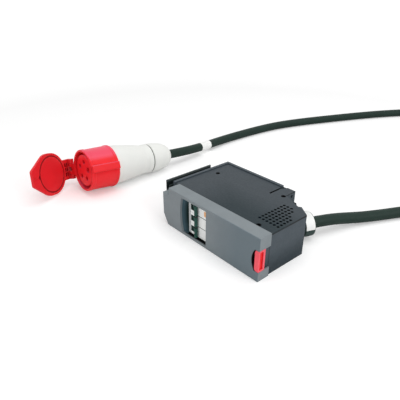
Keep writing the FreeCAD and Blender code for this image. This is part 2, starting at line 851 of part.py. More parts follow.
def rear_plug():
    """An insulating block through the back wall, with a flange inside the case."""
    inner = case_back - sheet
    body = block(plug_left + seam, plug_right - seam, inner - plug_flange, case_back + plug_lip,
                 plug_bottom + seam, plug_top - seam)
    body = rounded(body, 1.5, lambda box: box.YLength > plug_lip)
    flange = block(plug_left - plug_lip, plug_right + plug_lip, inner - plug_flange, inner,
                   plug_bottom - plug_lip, plug_top + plug_lip)
    slots = [contact_blade(x, run_clearance) for x in blade_xs]
    return body.fuse(flange).cut(slots).removeSplitter()


# Cable gland, made along Y from its seat and then turned square to the niche wall

gland_nut_start = gland_base + gland_neck
gland_sleeve_start = gland_nut_start + gland_nut_hex
gland_sleeve_end = gland_sleeve_start + gland_nut_sleeve
gland_end = gland_sleeve_end + gland_dome


def on_gland(shape):
    shape.rotate(V(0, 0, 0), V(0, 0, 1), gland_turn)
    shape.translate(gland_seat)
    return shape


def gland_body():
    base = hex_bar(gland_flats, 0, gland_base)
    neck = rod(V(0, gland_base, 0), V(0, 1, 0), gland_shank_radius, gland_nut_start - gland_base)
    shank = rod(V(0, -gland_shank, 0), V(0, 1, 0), gland_shank_radius, gland_shank)
    return on_gland(base.fuse([neck, shank]).removeSplitter())


def gland_nut():
    bar = hex_bar(gland_flats, gland_nut_start, gland_sleeve_start)
    end_radius = cord_diameter / 2 + gland_rim
    dome = turned([
        (0, gland_sleeve_start), (gland_cap_radius, gland_sleeve_start),
        (gland_cap_radius, gland_sleeve_end),
        (gland_cap_radius - gland_dome, gland_end - gland_dome * 0.3),
        (end_radius, gland_end), (0, gland_end),
    ])
    return on_gland(bar.fuse(dome).removeSplitter())


def gland_lock_nut():
    nut = hex_bar(gland_flats - 2, -sheet - gland_locknut, -sheet)
    hole = rod(V(0, -sheet - gland_locknut - 1, 0), V(0, 1, 0),
               gland_shank_radius + run_clearance, gland_locknut + 2)
    return on_gland(nut.cut(hole))


def gland_label():
    """A blank wrap label on the upper half of the gland nut."""
    start = gland_sleeve_start + (gland_nut_sleeve - gland_label_width) / 2
    outer = rod(V(0, start, 0), V(0, 1, 0), gland_cap_radius + label_thickness, gland_label_width)
    inner = rod(V(0, start - 1, 0), V(0, 1, 0), gland_cap_radius, gland_label_width + 2)
    low = block(-gland_flats, gland_flats, 0, gland_end, -gland_flats, 0)
    return on_gland(outer.cut([inner, low]))


# Wires inside the case

def line_wire(number):
    """From a plug blade to the left end of a pole."""
    z = pole_middles[number]
    x = blade_xs[number]
    lane = case_left + sheet + wire_lane + wire_lane_pitch * number
    points = [
        V(x, blade_front - wire_end_gap, blade_middle_z), V(x, blade_front - blade_height, blade_middle_z),
        V(lane + 2 * wire_radius, bracket_y, z), V(lane, terminal_y + 6 * wire_radius, z),
        V((lane + pole_left) / 2, terminal_y, z), V(pole_left + terminal_depth - 1.0, terminal_y, z),
    ]
    return bent_rod(points, wire_radius)[0]


def gland_end_point(angle):
    """A point on the gland's inner end, on a small circle round its axis."""
    side = V(gland_axis.y, -gland_axis.x, 0)
    turn = math.radians(angle)
    inner_end = gland_seat - gland_axis * (gland_shank + wire_end_gap)
    return inner_end + side * (wire_spread * math.cos(turn)) + V(0, 0, wire_spread * math.sin(turn))


def load_wire(number):
    """From the right end of a pole to the gland."""
    z = pole_middles[number]
    end = gland_end_point((-90, -18, 54)[number])
    reach = 2 * wire_spread + (wire_spread - 1.0) * number
    points = [
        V(pole_right - terminal_depth + 1.0, terminal_y, z), V(pole_right + reach, terminal_y, z),
        end - gland_axis * gland_run_out, end,
    ]
    return bent_rod(points, wire_radius)[0]


def through_wire(number, angle, height):
    """From a plug blade to the gland, past the back of the breaker at the given height."""
    x = blade_xs[number]
    end = gland_end_point(angle)
    points = [
        V(x, blade_front - wire_end_gap, blade_middle_z),
        V(x, blade_front - 0.8 * blade_height, blade_middle_z),
        V(x + pole_pitch, bracket_y + bracket_margin, height), end - gland_axis * gland_run_out / 2, end,
    ]
    return bent_rod(points, wire_radius)[0]


# Connector, made along Y with its front at the origin and its key at +X, then laid on the floor

connector_front = V(-connector_aside, -connector_ahead, 0)
housing_start = collar_length
housing_end = housing_start + housing_length
ring_end = housing_end + ring_length
nut_end = ring_end + nut_length
insert_back = insert_recess + groove_depth + insert_web
tilt_angle = math.radians(connector_tilt)
connector_height = collar_rear_radius * math.cos(tilt_angle) + collar_length * math.sin(tilt_angle)


def laid(shape):
    """Roll the key upwards, tilt the connector down towards its cord, turn it and set it on the floor."""
    shape.rotate(V(0, 0, 0), V(0, 1, 0), -connector_roll)
    shape.rotate(V(0, 0, 0), V(1, 0, 0), -connector_tilt)
    shape.rotate(V(0, 0, 0), V(0, 0, 1), -connector_turn)
    shape.translate(connector_front + V(0, 0, connector_height))
    return shape


def laid_point(x, y, z):
    point = Part.Vertex(x, y, z)
    return laid(point).Point


def hinge_side(shape):
    """Turn a piece of the hinge or the lid round the connector's axis, to where the hinge sits."""
    shape.rotate(V(0, 0, 0), V(0, 1, 0), hinge_skew)
    return shape


hinge_local = V(-hinge_offset, hinge_back, 0)
half_knuckle = knuckle_height / 2
half_fork = half_knuckle + latch_gap + lug_height


def hinge_pin_hole():
    return rod(hinge_local - V(0, 0, 2 * half_fork), V(0, 0, 1),
               hinge_pin_radius + run_clearance, 4 * half_fork)


def hinge_knuckle():
    """The collar's half of the hinge: an eye on an arm, open in the middle for the spring."""
    eye = rod(hinge_local - V(0, 0, half_knuckle), V(0, 0, 1), knuckle_radius, knuckle_height)
    arm_back = hinge_back + knuckle_radius
    arm = block(-hinge_offset, 0, 0, arm_back, -half_knuckle, half_knuckle)
    half_room = spring_height / 2 + latch_gap
    spring_room = block(-hinge_offset - 2 * knuckle_radius, -hinge_offset + knuckle_radius - lid_gap,
                        hinge_back - 2 * knuckle_radius, arm_back + 1, -half_room, half_room)
    inside = rod(V(0, -collar_length, 0), V(0, 1, 0), collar_bore_radius + 1.0, 2 * collar_length)
    return eye.fuse(arm).cut([hinge_pin_hole(), spring_room, inside])


def connector_collar():
    """A flared sleeve with a key rib outside, a keyway inside and a hinge knuckle opposite."""
    sleeve = turned([
        (collar_bore_radius, 0), (collar_front_radius - 1.0, 0), (collar_front_radius, 1.5),
        (collar_front_radius, 6.0), (collar_front_radius - 0.8, 7.0),
        (collar_rear_radius - 0.8, collar_length - 6.0), (collar_rear_radius, collar_length - 5.0),
        (collar_rear_radius, collar_length - 1.5), (collar_rear_radius - 1.5, collar_length),
        (collar_bore_radius, collar_length),
    ])
    half_key = key_width / 2
    rib = block(collar_bore_radius + 1.0, collar_front_radius + key_rise, 0.5, collar_length - 0.5,
                -half_key, half_key)
    rib = rounded(rib, 2.0, lambda box: box.YLength > collar_length / 2 and box.XMin > collar_front_radius)
    half_way = keyway_width / 2
    keyway = block(collar_bore_radius - 2.0, collar_bore_radius + keyway_depth,
                   -1, insert_recess + groove_depth, -half_way, half_way)
    return laid(sleeve.fuse([rib, hinge_side(hinge_knuckle())]).cut(keyway).removeSplitter())


contact_angles = [72.0 * number for number in range(5)]
contact_radii = [earth_bore] + [contact_bore] * 4


def contact_bar(angle, radius, y0, y1):
    turn = math.radians(angle)
    start = V(contact_circle * math.cos(turn), y0, contact_circle * math.sin(turn))
    return rod(start, V(0, 1, 0), radius, y1 - y0)


def contact_holes():
    """The five holes through the insert and its carrier, wider where the sleeves sit."""
    sleeve_start = insert_recess + sleeve_recess
    holes = []
    for angle, radius in zip(contact_angles, contact_radii):
        holes.append(contact_bar(angle, radius, insert_recess - 1, sleeve_start))
        holes.append(contact_bar(angle, radius + sleeve_wall + run_clearance, sleeve_start, insert_back + 1))
    return holes


def socket_insert():
    """The insulating body with five contact holes."""
    body = turned([
        (0, insert_recess), (insert_radius - 1.0, insert_recess), (insert_radius, insert_recess + 1.0),
        (insert_radius, insert_recess + groove_depth), (0, insert_recess + groove_depth),
    ])
    return laid(body.cut(contact_holes()))


def contact_carrier():
    """The disc behind the insert, which closes the collar and holds the sleeves."""
    disc = rod(V(0, insert_recess + groove_depth, 0), V(0, 1, 0), collar_bore_radius - seam, insert_web)
    return laid(disc.cut(contact_holes()))


def contact_sleeves():
    """Brass sleeves behind the contact holes, closed at the back."""
    sleeve_start = insert_recess + sleeve_recess
    sleeves = []
    for angle, radius in zip(contact_angles, contact_radii):
        tube = contact_bar(angle, radius + sleeve_wall, sleeve_start, insert_back)
        bore = contact_bar(angle, radius, sleeve_start - 1, insert_back - insert_web)
        sleeves.append(tube.cut(bore))
    return laid(Part.makeCompound(sleeves))


def connector_housing():
    """A hollow tapered grip that carries the collar and the clamp nut."""
    neck = collar_bore_radius - seam
    front_radius = collar_rear_radius - 2.5
    waist = housing_rear_radius - 0.7
    points = [
        (neck, insert_back + seam), (neck, housing_start + seam), (front_radius, housing_start + seam),
        (front_radius, housing_start + 10.0), (front_radius - 1.0, housing_start + 20.0),
        (waist + 2.5, housing_end - 27.0), (waist, housing_end - 13.0),
        (housing_rear_radius, housing_end - 8.0), (housing_rear_radius, housing_end),
    ]
    inside = [(radius - housing_wall, y) for radius, y in points]
    inside[2] = (neck - housing_wall, housing_start + 2 * housing_wall)
    return laid(turned(points + inside[::-1]))


def sealing_ring():
    outer = housing_rear_radius - 0.6
    return laid(turned([
        (outer - housing_wall, housing_end), (outer, housing_end),
        (outer, ring_end), (outer - housing_wall, ring_end),
    ]))


def clamp_nut():
    """A domed nut, closed round the cord."""
    radius = housing_rear_radius
    return laid(turned([
        (0, ring_end), (radius, ring_end), (radius, ring_end + 8.0), (radius - 1.5, ring_end + 18.0),
        (radius - 4.0, nut_end - 15.0), (nut_end_radius + 4.0, nut_end - 6.0),
        (nut_end_radius, nut_end - 1.0),
        (nut_end_radius - 2.0, nut_end), (0, nut_end),
    ]))


# Lid, made closed on the front of the collar, then swung open about its pin

lid_back = -lid_gap
lid_front = lid_back - lid_thickness
strap_front = lid_front + 3.0
strap_back = lid_back - 1.5


def swung(shape):
    shape.rotate(hinge_local, V(0, 0, 1), -lid_open)
    return laid(hinge_side(shape))


def lid_plate_block():
    """The flat plate of the lid: round shoulders and a tapered nose to lift it by."""
    tip = lid_radius + nose_reach
    outline = [
        (0, -lid_radius), (nose_shoulder, -lid_radius), (tip, -nose_half_width), (tip, nose_half_width),
        (nose_shoulder, lid_radius), (0, lid_radius),
    ]
    plate = front_face(outline, lid_back - lid_plate).extrude(V(0, lid_plate, 0))
    upright = lambda box: box.YLength > lid_plate / 2 and box.XLength < 0.01
    plate = rounded(plate, nose_round, lambda box: upright(box) and box.XMin > tip - 1)
    return rounded(plate, shoulder_round, lambda box: upright(box) and abs(box.XMin - nose_shoulder) < 0.01)


def hinge_strap():
    """The wide strap from the lid to its two hinge eyes, with a grid of pockets on its inner side."""
    strap = block(-hinge_offset - knuckle_radius, -lid_radius * 0.8, strap_front, strap_back,
                  -half_fork, half_fork)
    eyes = []
    for low in (-half_fork, half_fork - lug_height):
        eyes.append(rod(hinge_local + V(0, 0, low), V(0, 0, 1), knuckle_radius, lug_height))
        eyes.append(block(-hinge_offset - knuckle_radius, -hinge_offset + knuckle_radius,
                          strap_front, hinge_back, low, low + lug_height))
    pockets = []
    for column in range(2):
        x = -lid_radius - strap_rib - column * (strap_pocket_x + strap_rib)
        for row in (-1, 0, 1):
            z = row * (strap_pocket_z + strap_rib)
            pockets.append(block(x - strap_pocket_x, x, strap_back - strap_pocket_depth, strap_back + 1,
                                 z - strap_pocket_z / 2, z + strap_pocket_z / 2))
    return strap.fuse(eyes).cut(pockets + [hinge_pin_hole()])


def connector_lid():
    """A domed cap on a plate with a nose, a strap to the hinge and a ring groove for the gasket."""
    dome = turned([
        (0, lid_front), (lid_radius * 0.6, lid_front), (lid_radius * 0.85, lid_front + 2.0),
        (lid_radius - 1.0, lid_back - lid_plate), (lid_radius, lid_back - lid_plate), (lid_radius, lid_back),
        (0, lid_back),
    ])
    groove_floor = lid_back - gasket_depth
    groove = turned([
        (gasket_radius - gasket_width, groove_floor), (gasket_radius, groove_floor),
        (gasket_radius, lid_back + 1), (gasket_radius - gasket_width, lid_back + 1),
    ])
    notch = [(gasket_radius - seam, -pointer_reach), (gasket_radius + pointer_reach, 0),
             (gasket_radius - seam, pointer_reach)]
    pointer_notch = front_face(notch, groove_floor).extrude(V(0, gasket_depth + 1, 0))
    ridge_start = lid_radius + 1.0
    ridge = block(ridge_start, ridge_start + 2 * pointer_reach, lid_back - 1, lid_back + lid_gap + seam,
                  -pointer_reach / 4, pointer_reach / 4)
    lid = dome.fuse([lid_plate_block(), hinge_strap(), ridge])
    return swung(lid.cut([groove, pointer_notch]).removeSplitter())


def lid_gasket():
    inner = gasket_radius - gasket_width + run_clearance
    outer = gasket_radius - run_clearance
    low = lid_back - gasket_depth
    high = lid_back - 0.2
    return swung(turned([(inner, low), (outer, low), (outer, high), (inner, high)]))


def hinge_pin():
    pin = rod(hinge_local - V(0, 0, half_fork), V(0, 0, 1), hinge_pin_radius, 2 * half_fork)
    return laid(hinge_side(pin))


def lid_spring():
    coil_radius = hinge_pin_radius + latch_gap + spring_wire
    bottom = hinge_local - V(0, 0, coil_height / 2)
    return laid(hinge_side(coil_spring(bottom, coil_radius, spring_wire, spring_turns_count, coil_height)))


# Cord, from the connector's nut over the floor to the gland

cord_radius = cord_diameter / 2
floor_z = cord_radius + seam
cord_start = laid_point(0, nut_end, 0)
cord_ahead = laid_point(0, nut_end + cord_run_out, 0)
cord_end = gland_seat + gland_axis * gland_end
cord_points = [
    cord_start, cord_ahead,
    V(-277, 168, 14), V(-287, 230, 9.9), V(-287, 290, floor_z), V(-283, 350, floor_z), V(-274, 412, floor_z),
    V(-251, 482, floor_z), V(-222, 552, floor_z), V(-190, 626, floor_z), V(-150, 708, floor_z),
    V(-98, 790, floor_z), V(-22, 850, floor_z), V(78, 868, floor_z), V(178, 826, floor_z),
    V(246, 742, floor_z), V(272, 636, floor_z), V(266, 526, floor_z), V(234, 420, floor_z),
    V(190, 322, floor_z), V(150, 236, floor_z), V(115, 165, 9.6), V(99, 128, 14.5),
    cord_end + gland_axis * gland_run_out, cord_end,
]


def power_cord():
    tube, length, radii = bent_rod(cord_points, cord_radius)
    section_area = math.pi * cord_radius ** 2
    volume_share = tube.Volume / (section_area * length)
    print("cord length", round(length, 1), "volume share", round(volume_share, 4))
    print("cord radii", [round(radius) for radius in radii])
    return tube


def cord_label():
    """A blank label band round the cord, near the connector, on its gentlest bend."""
    length = 30.0
    bend = bent_path(cord_points)[0].Edges[3]
    first = bend.getParameterByLength((bend.Length - length) / 2)
    last = bend.getParameterByLength((bend.Length + length) / 2)
    stretch = Part.Wire(bend.Curve.toShape(first, last))
    bands = []
    for radius in (cord_radius, cord_radius + label_thickness):
        section = Part.Wire(Part.makeCircle(radius, bend.valueAt(first), bend.tangentAt(first)))
        bands.append(stretch.makePipeShell([section], True, False))
    return bands[1].cut(bands[0])


nodes = {
    "front_bezel": front_bezel(),
    "finger_well": finger_well(),
    "case_base": case_base(),
    "case_cover": case_cover(),
    "cover_screws": cover_screws(),
    "guide_rail": guide_rail(),
    "rail_screws": rail_screws(),
    "release_latch": release_latch(),
    "latch_pin": latch_pin(),
    "latch_spring": latch_spring(),
    "terminal_screws": terminal_screws(),
    "handle_tie": handle_tie(),
    "handle_axle": handle_axle(),
    "breaker_labels": breaker_labels(),
    "orange_marker": orange_marker(),
    "din_rail": din_rail(),
    "rail_bracket": rail_bracket(),
    "bracket_screws": bracket_screws(),
    "rear_plug": rear_plug(),
    "contact_blades": contact_blades(),
    "gland_body": gland_body(),
    "gland_nut": gland_nut(),
    "gland_lock_nut": gland_lock_nut(),
    "gland_label": gland_label(),
    "neutral_wire": through_wire(3, 126, neutral_height),
    "earth_wire": through_wire(4, 198, earth_height),
    "connector_collar": connector_collar(),
    "socket_insert": socket_insert(),
    "contact_carrier": contact_carrier(),
    "contact_sleeves": contact_sleeves(),
    "connector_housing": connector_housing(),
    "sealing_ring": sealing_ring(),
    "clamp_nut": clamp_nut(),
    "connector_lid": connector_lid(),
    "lid_gasket": lid_gasket(),
    "hinge_pin": hinge_pin(),
    "lid_spring": lid_spring(),
    "power_cord": power_cord(),
    "cord_label": cord_label(),
}
for number, middle in enumerate(pole_middles):
    nodes["breaker_pole_%d" % (number + 1)] = breaker_pole(middle)
    nodes["breaker_handle_%d" % (number + 1)] = breaker_handle(middle)
    nodes["line_wire_%d" % (number + 1)] = line_wire(number)
    nodes["load_wire_%d" % (number + 1)] = load_wire(number)

os.makedirs("parts", exist_ok=True)
for name, shape in nodes.items():
    shape.exportStep("parts/%s.step" % name)
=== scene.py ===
# %% [markdown]
# # A power distribution module and its cord
# The module is a flat grey case with a three-pole breaker behind its front bezel, a red latch at the
# right end and a thick cord that ends in a red and white five-pole connector.
# The imported model gives every solid its place, so the first step loads it.
# Blender works in metres, and MM turns a drawing's millimetres into them.

# %% Load the imported model
import json
import bmesh
import bpy
import numpy as np
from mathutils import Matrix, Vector


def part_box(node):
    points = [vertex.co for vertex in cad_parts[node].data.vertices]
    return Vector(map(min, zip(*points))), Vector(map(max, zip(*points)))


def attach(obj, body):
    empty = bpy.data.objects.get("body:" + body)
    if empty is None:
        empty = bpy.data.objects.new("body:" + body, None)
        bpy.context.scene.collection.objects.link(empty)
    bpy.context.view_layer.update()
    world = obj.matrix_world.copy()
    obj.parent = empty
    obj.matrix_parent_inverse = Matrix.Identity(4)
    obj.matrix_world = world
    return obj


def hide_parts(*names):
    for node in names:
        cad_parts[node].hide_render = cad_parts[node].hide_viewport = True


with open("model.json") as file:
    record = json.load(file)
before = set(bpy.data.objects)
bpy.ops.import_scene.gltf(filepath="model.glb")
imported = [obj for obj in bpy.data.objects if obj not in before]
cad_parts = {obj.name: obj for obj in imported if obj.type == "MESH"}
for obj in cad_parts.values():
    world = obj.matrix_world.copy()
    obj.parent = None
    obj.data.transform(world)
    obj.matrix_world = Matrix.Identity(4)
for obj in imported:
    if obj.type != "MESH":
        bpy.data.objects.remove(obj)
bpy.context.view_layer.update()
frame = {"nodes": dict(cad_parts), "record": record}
nodes = frame["nodes"]
MM = 0.001
print("solids loaded:", len(nodes))

# %% [markdown]
# ## The camera
# The photograph looks down on the module from its front right corner. A pinhole camera is fixed by
# a place, a direction and a lens. The lens is the picture's focal length carried over to a 36 mm
# sensor, and the direction is given as a turn round the object and a height above the horizon.

# %% Camera
picture_width = 400
focal_pixels = 432.5
camera_place = Vector((0.39075, -0.4202, 0.3562))
camera_turn = np.radians(49.21)
camera_height = np.radians(28.16)

camera_data = bpy.data.cameras.new("camera")
camera_data.sensor_width = 36.0
camera_data.lens = focal_pixels / picture_width * camera_data.sensor_width
camera_data.clip_end = 20.0
camera = bpy.data.objects.new("camera", camera_data)
camera.location = camera_place
look = Vector((-np.sin(camera_turn) * np.cos(camera_height),
               np.cos(camera_turn) * np.cos(camera_height), -np.sin(camera_height)))
camera.rotation_euler = look.to_track_quat("-Z", "Y").to_euler()
bpy.context.scene.collection.objects.link(camera)
bpy.context.scene.camera = camera
bpy.context.scene.view_settings.view_transform = "Standard"
print("lens", round(camera_data.lens, 2), "mm")

# %% [markdown]
# ## Surfaces from arrays
# A surface here is a grid of points: one parameter runs along the rows and one along the columns.
# Whole arrays are worked out at once and handed to the mesh, which is quick and keeps the formula
# readable. A closed direction joins its last row to its first. The enclosed volume, summed over all
# faces, is negative if the faces point inwards, and then the grid is read the other way round.

# %% Grid surfaces
def enclosed_volume(points, quads):
    """Six times the signed volume under the faces: a dot b cross c for both halves of each quad."""
    a, b, c, d = (points[quads[:, corner]] for corner in range(4))
    halves = np.cross(b, c) + np.cross(c, d)
    return float((a * halves).sum())


def grid_piece(name, points, close_rows=True, close_columns=True):
    """A mesh from a grid of points in metres, with four-sided faces between neighbouring points."""
    rows, columns = points.shape[:2]
    numbers = np.arange(rows * columns).reshape(rows, columns)
    if close_rows:
        numbers = np.vstack([numbers, numbers[:1]])
    if close_columns:
        numbers = np.hstack([numbers, numbers[:, :1]])
    quads = np.stack([numbers[:-1, :-1], numbers[:-1, 1:], numbers[1:, 1:], numbers[1:, :-1]], axis=-1)
    quads = quads.reshape(-1, 4)
    flat = points.reshape(-1, 3)
    if enclosed_volume(flat - flat.mean(axis=0), quads) < 0:
        quads = quads[:, ::-1]
    mesh = bpy.data.meshes.new(name)
    mesh.from_pydata(flat.tolist(), [], quads.tolist())
    mesh.polygons.foreach_set("use_smooth", np.ones(len(quads), bool))
    mesh.update()
    piece = bpy.data.objects.new(name, mesh)
    bpy.context.scene.collection.objects.link(piece)
    print(name, len(quads), "faces")
    return piece


def close_poles(piece):
    """Joins the points that lie on one spot, so that a turned shape ends in one point on its axis."""
    shape = bmesh.new()
    shape.from_mesh(piece.data)
    bmesh.ops.remove_doubles(shape, verts=shape.verts, dist=1e-8)
    shape.to_mesh(piece.data)
    shape.free()


print("grid surfaces ready")

# %% [markdown]
# ## Lines, rings and tubes
# Most of the new pieces are round, so they need only a line. A profile line swept round an axis gives
# a turned piece, a small oval swept round it gives a ring, and a circle carried along a line in space
# gives a tube. A few measured points are enough, because a cubic line runs smoothly through them.

# %% Turned shapes and tubes
def turned(profile, columns=96):
    """Points of a turned shape about Y: each (radius, y) of the profile swept round a full circle."""
    radius, along = np.asarray(profile, float).T
    angle = np.linspace(0.0, 2 * np.pi, columns, endpoint=False)
    return np.stack([np.outer(radius, np.cos(angle)), np.outer(along, np.ones(columns)),
                     np.outer(radius, np.sin(angle))], axis=-1)


def smooth_line(knots, steps=10):
    """A Catmull-Rom line through the knots: between two knots it is a cubic that leaves each one
    in the direction from the knot before it to the knot after it."""
    knots = np.asarray(knots, float)
    padded = np.vstack([2 * knots[0] - knots[1], knots, 2 * knots[-1] - knots[-2]])
    p0, p1, p2, p3 = (padded[k:k + len(knots) - 1, None, :] for k in range(4))
    t = np.linspace(0.0, 1.0, steps, endpoint=False)[None, :, None]
    cubic = p1 + 0.5 * t * (p2 - p0) + t ** 2 * (p0 - 2.5 * p1 + 2 * p2 - 0.5 * p3)
    cubic = cubic + t ** 3 * (1.5 * (p1 - p2) + 0.5 * (p3 - p0))
    return np.vstack([cubic.reshape(-1, knots.shape[1]), knots[-1:]])


def ring_section(radius, along, half_width, half_height, count=24):
    """An oval section for a turned ring, round the point (radius, along)."""
    angle = np.linspace(0.0, 2 * np.pi, count, endpoint=False)
    return np.stack([radius + half_height * np.cos(angle), along + half_width * np.sin(angle)], axis=-1)


def tube_points(centres, radius, columns=12):
    """A tube round a line: at each centre, a circle square to the line's direction there. The circle
    starts from a reference direction that no line here takes."""
    reference = (0.31, 0.17, 0.94)
    along = np.gradient(centres, axis=0)
    along = along / np.linalg.norm(along, axis=1, keepdims=True)
    across = np.cross(along, reference)
    across = across / np.linalg.norm(across, axis=1, keepdims=True)
    upward = np.cross(along, across)
    angle = np.linspace(0.0, 2 * np.pi, columns, endpoint=False)[None, :, None]
    circle = across[:, None] * np.cos(angle) + upward[:, None] * np.sin(angle)
    return centres[:, None] + radius * circle


def turn_matrix(axis, degrees):
    """A right-handed turn about X, Y or Z, as a 3 by 3 array."""
    angle = np.radians(degrees)
    first, second = [(1, 2), (2, 0), (0, 1)]["XYZ".index(axis)]
    matrix = np.eye(3)
    matrix[first, first] = matrix[second, second] = np.cos(angle)
    matrix[first, second] = -np.sin(angle)
    matrix[second, first] = np.sin(angle)
    return matrix


print("turned shapes and tubes ready")

# %% [markdown]
# ## Where the connector lies
# The connector's own frame runs along Y from its front face, with the key at +X and the lid's hinge
# at -X. On the floor it is rolled so that the key points up a little, tilted down towards its cord,
# and turned slightly, all in degrees. The same three turns place every new piece of it.

# %% Connector frame
connector_roll, connector_tilt, connector_turn = 21.0, 5.6, 0.4
collar_length, collar_rear_radius = 53.0, 38.0
nut_end = 182.5
tilt = np.radians(connector_tilt)
connector_front = np.array([-269.1, -122.3,
                            collar_rear_radius * np.cos(tilt) + collar_length * np.sin(tilt)])
connector_lean = turn_matrix("Z", -connector_turn) @ turn_matrix("X", -connector_tilt)
connector_axes = connector_lean @ turn_matrix("Y", -connector_roll)


def laid(points):
    """Connector points in millimetres, rolled, tilted, turned and set on the floor, in metres."""
    return (np.asarray(points, float) @ connector_axes.T + connector_front) * MM


print("connector front at", connector_front.round(1), "mm")

# %% [markdown]
# ## The cord
# A rubber cord as thick as a thumb leaves the gland, lies on the floor in one wide bend and comes
# back to the connector. It is a NURBS curve: its points are the route's corners, and the curve
# rounds them by itself. The bend at the far side lies outside the picture.

# %% Cord
cord_diameter = 18.0
floor_gap = 0.2
floor_height = cord_diameter / 2 + floor_gap
gland_axis = np.array([0.3709, 0.9287, 0.0])
gland_mouth = np.array([77.79, 67.06, 20.0])
gland_run, nut_run = 30.0, 48.0
cord_route = np.vstack([
    [gland_mouth, gland_mouth + gland_run * gland_axis],
    [(99, 128, 14.5), (115, 165, 9.6)],
    [(x, y, floor_height) for x, y in (
        (150, 236), (190, 322), (234, 420), (266, 526), (272, 636), (246, 742), (178, 826), (78, 868),
        (-22, 850), (-98, 790), (-150, 708), (-190, 626), (-222, 552), (-251, 482), (-274, 412),
        (-283, 350), (-287, 290))],
    [(-287, 230, 9.9), (-277, 168, 14.0)],
    laid([(0, nut_end + nut_run, 0), (0, nut_end, 0)]) / MM,
]) * MM


def cord_curve(name, radius):
    """A NURBS curve with the route's points as its control points, thickened to a tube. The thickness
    is the points' own radius, because a curve's box is grown by that radius."""
    curve = bpy.data.curves.new(name, "CURVE")
    curve.dimensions = "3D"
    spline = curve.splines.new("NURBS")
    spline.points.add(len(cord_route) - 1)
    weighted = np.hstack([cord_route, np.ones((len(cord_route), 1))])
    spline.points.foreach_set("co", weighted.ravel())
    spline.points.foreach_set("radius", np.full(len(cord_route), radius))
    spline.order_u = 3
    spline.use_endpoint_u = True
    spline.resolution_u = 12
    curve.bevel_depth = 1.0 if radius else 0.0
    curve.bevel_resolution = 6
    curve.use_fill_caps = True
    piece = bpy.data.objects.new(name, curve)
    bpy.context.scene.collection.objects.link(piece)
    return piece


power_cord = cord_curve("power_cord_outer", cord_diameter / 2 * MM)
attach(power_cord, "module")
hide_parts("power_cord")
print("cord points:", len(cord_route))

# %% [markdown]
# ## The label on the cord
# A blank white film is wrapped round the cord near the connector. It has to follow the bend, so its
# points are read from the cord's own line: a copy of the curve without thickness gives that line as
# a mesh, only its end near the connector is kept, and a slightly wider tube is carried along the
# stretch that the label covers.

# %% Cord label
label_length = 30.0 * MM
label_film = 0.3 * MM
label_middle_y = 168.0 * MM
near_x, near_y = -200.0 * MM, 300.0 * MM
bare_line = cord_curve("cord_line", 0.0)
line_mesh = bpy.data.meshes.new_from_object(bare_line)
line = np.empty(len(line_mesh.vertices) * 3)
line_mesh.vertices.foreach_get("co", line)
line = line.reshape(-1, 3)
bpy.data.objects.remove(bare_line)
bpy.data.meshes.remove(line_mesh)

near_end = line[(line[:, 0] < near_x) & (line[:, 1] < near_y)]
run = np.concatenate([[0.0], np.cumsum(np.linalg.norm(np.diff(near_end, axis=0), axis=1))])
middle = np.interp(-label_middle_y, -near_end[:, 1], run)
stations = middle + np.linspace(-label_length / 2, label_length / 2, 25)
label_line = np.stack([np.interp(stations, run, near_end[:, axis]) for axis in range(3)], axis=-1)
wide = cord_diameter / 2 * MM + label_film
outside = tube_points(label_line, wide, columns=64)
inside = tube_points(label_line, wide - 2 * label_film, columns=64)
label_band = grid_piece("cord_label_film", np.concatenate([outside, inside[::-1]]))
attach(label_band, "module")
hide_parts("cord_label")

# %% [markdown]
# ## The white grip and its clamp nut
# The connector's grip is a smooth turned moulding with a slight waist, and the nut behind it is a
# dome that narrows to the cord. Both are turned shapes, so a profile line is enough: a Catmull-Rom
# line through a few measured radii, swept round the axis. Cones with edges between them would show
# as rings in the light.

# %% Grip, nut and seal
collar_gap = 0.2
grip_start, grip_length, grip_wall = collar_length + collar_gap, 80.1, 3.0
spigot_radius, spigot_length = 33.0, 2.0
grip_end = grip_start + grip_length
grip_line = smooth_line([
    (35.5, 0.6), (35.6, 9.8), (34.6, 19.8), (32.3, 37.8), (30.0, 53.8), (28.1, 63.8), (27.7, 67.8),
    (28.3, 71.8), (28.4, 75.8), (28.4, 79.4)])
grip_front = [(spigot_radius, -spigot_length), (spigot_radius, 0.0), (34.9, 0.0)]
grip_outside = np.vstack([grip_front, grip_line, [(27.9, grip_length)]])
grip_profile = np.vstack([grip_outside, grip_outside[::-1] - (grip_wall, 0.0)]) + (0.0, grip_start)
grip = grid_piece("grip_shell", laid(turned(grip_profile)))
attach(grip, "module")
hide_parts("connector_housing")

ring_length = 2.0
nut_start = grip_end + ring_length
nut_length = nut_end - nut_start
nut_line = smooth_line([
    (28.4, 0.6), (28.4, 5.7), (27.9, 13.7), (26.7, 22.7), (24.9, 31.7), (22.0, 39.2), (18.6, 44.0),
    (16.0, 46.3), (13.6, nut_length)])
nut_bore = cord_diameter / 2
nut_inside = [(nut_bore, nut_length), (nut_bore, 0.0)]
nut_profile = np.vstack([[(27.9, 0.0)], nut_line, nut_inside]) + (0.0, nut_start)
nut = grid_piece("nut_shell", laid(turned(nut_profile)))
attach(nut, "module")
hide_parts("clamp_nut")

seal_radius, seal_half_width, seal_half_height = 26.3, 0.95, 1.5
seal_section = ring_section(seal_radius, grip_end + ring_length / 2, seal_half_width, seal_half_height)
seal = grid_piece("grip_seal", laid(turned(seal_section)))
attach(seal, "module")
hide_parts("sealing_ring")

# %% [markdown]
# ## The cable gland's nut
# The nut that squeezes the seal round the cord is a hexagon with turned corners, then a wide round
# cap. One formula makes all of it: at each angle the hexagon's part takes the smaller of a hexagon and
# a turned profile, so its corners are cut back as on a lathe, and the cap takes the profile alone.

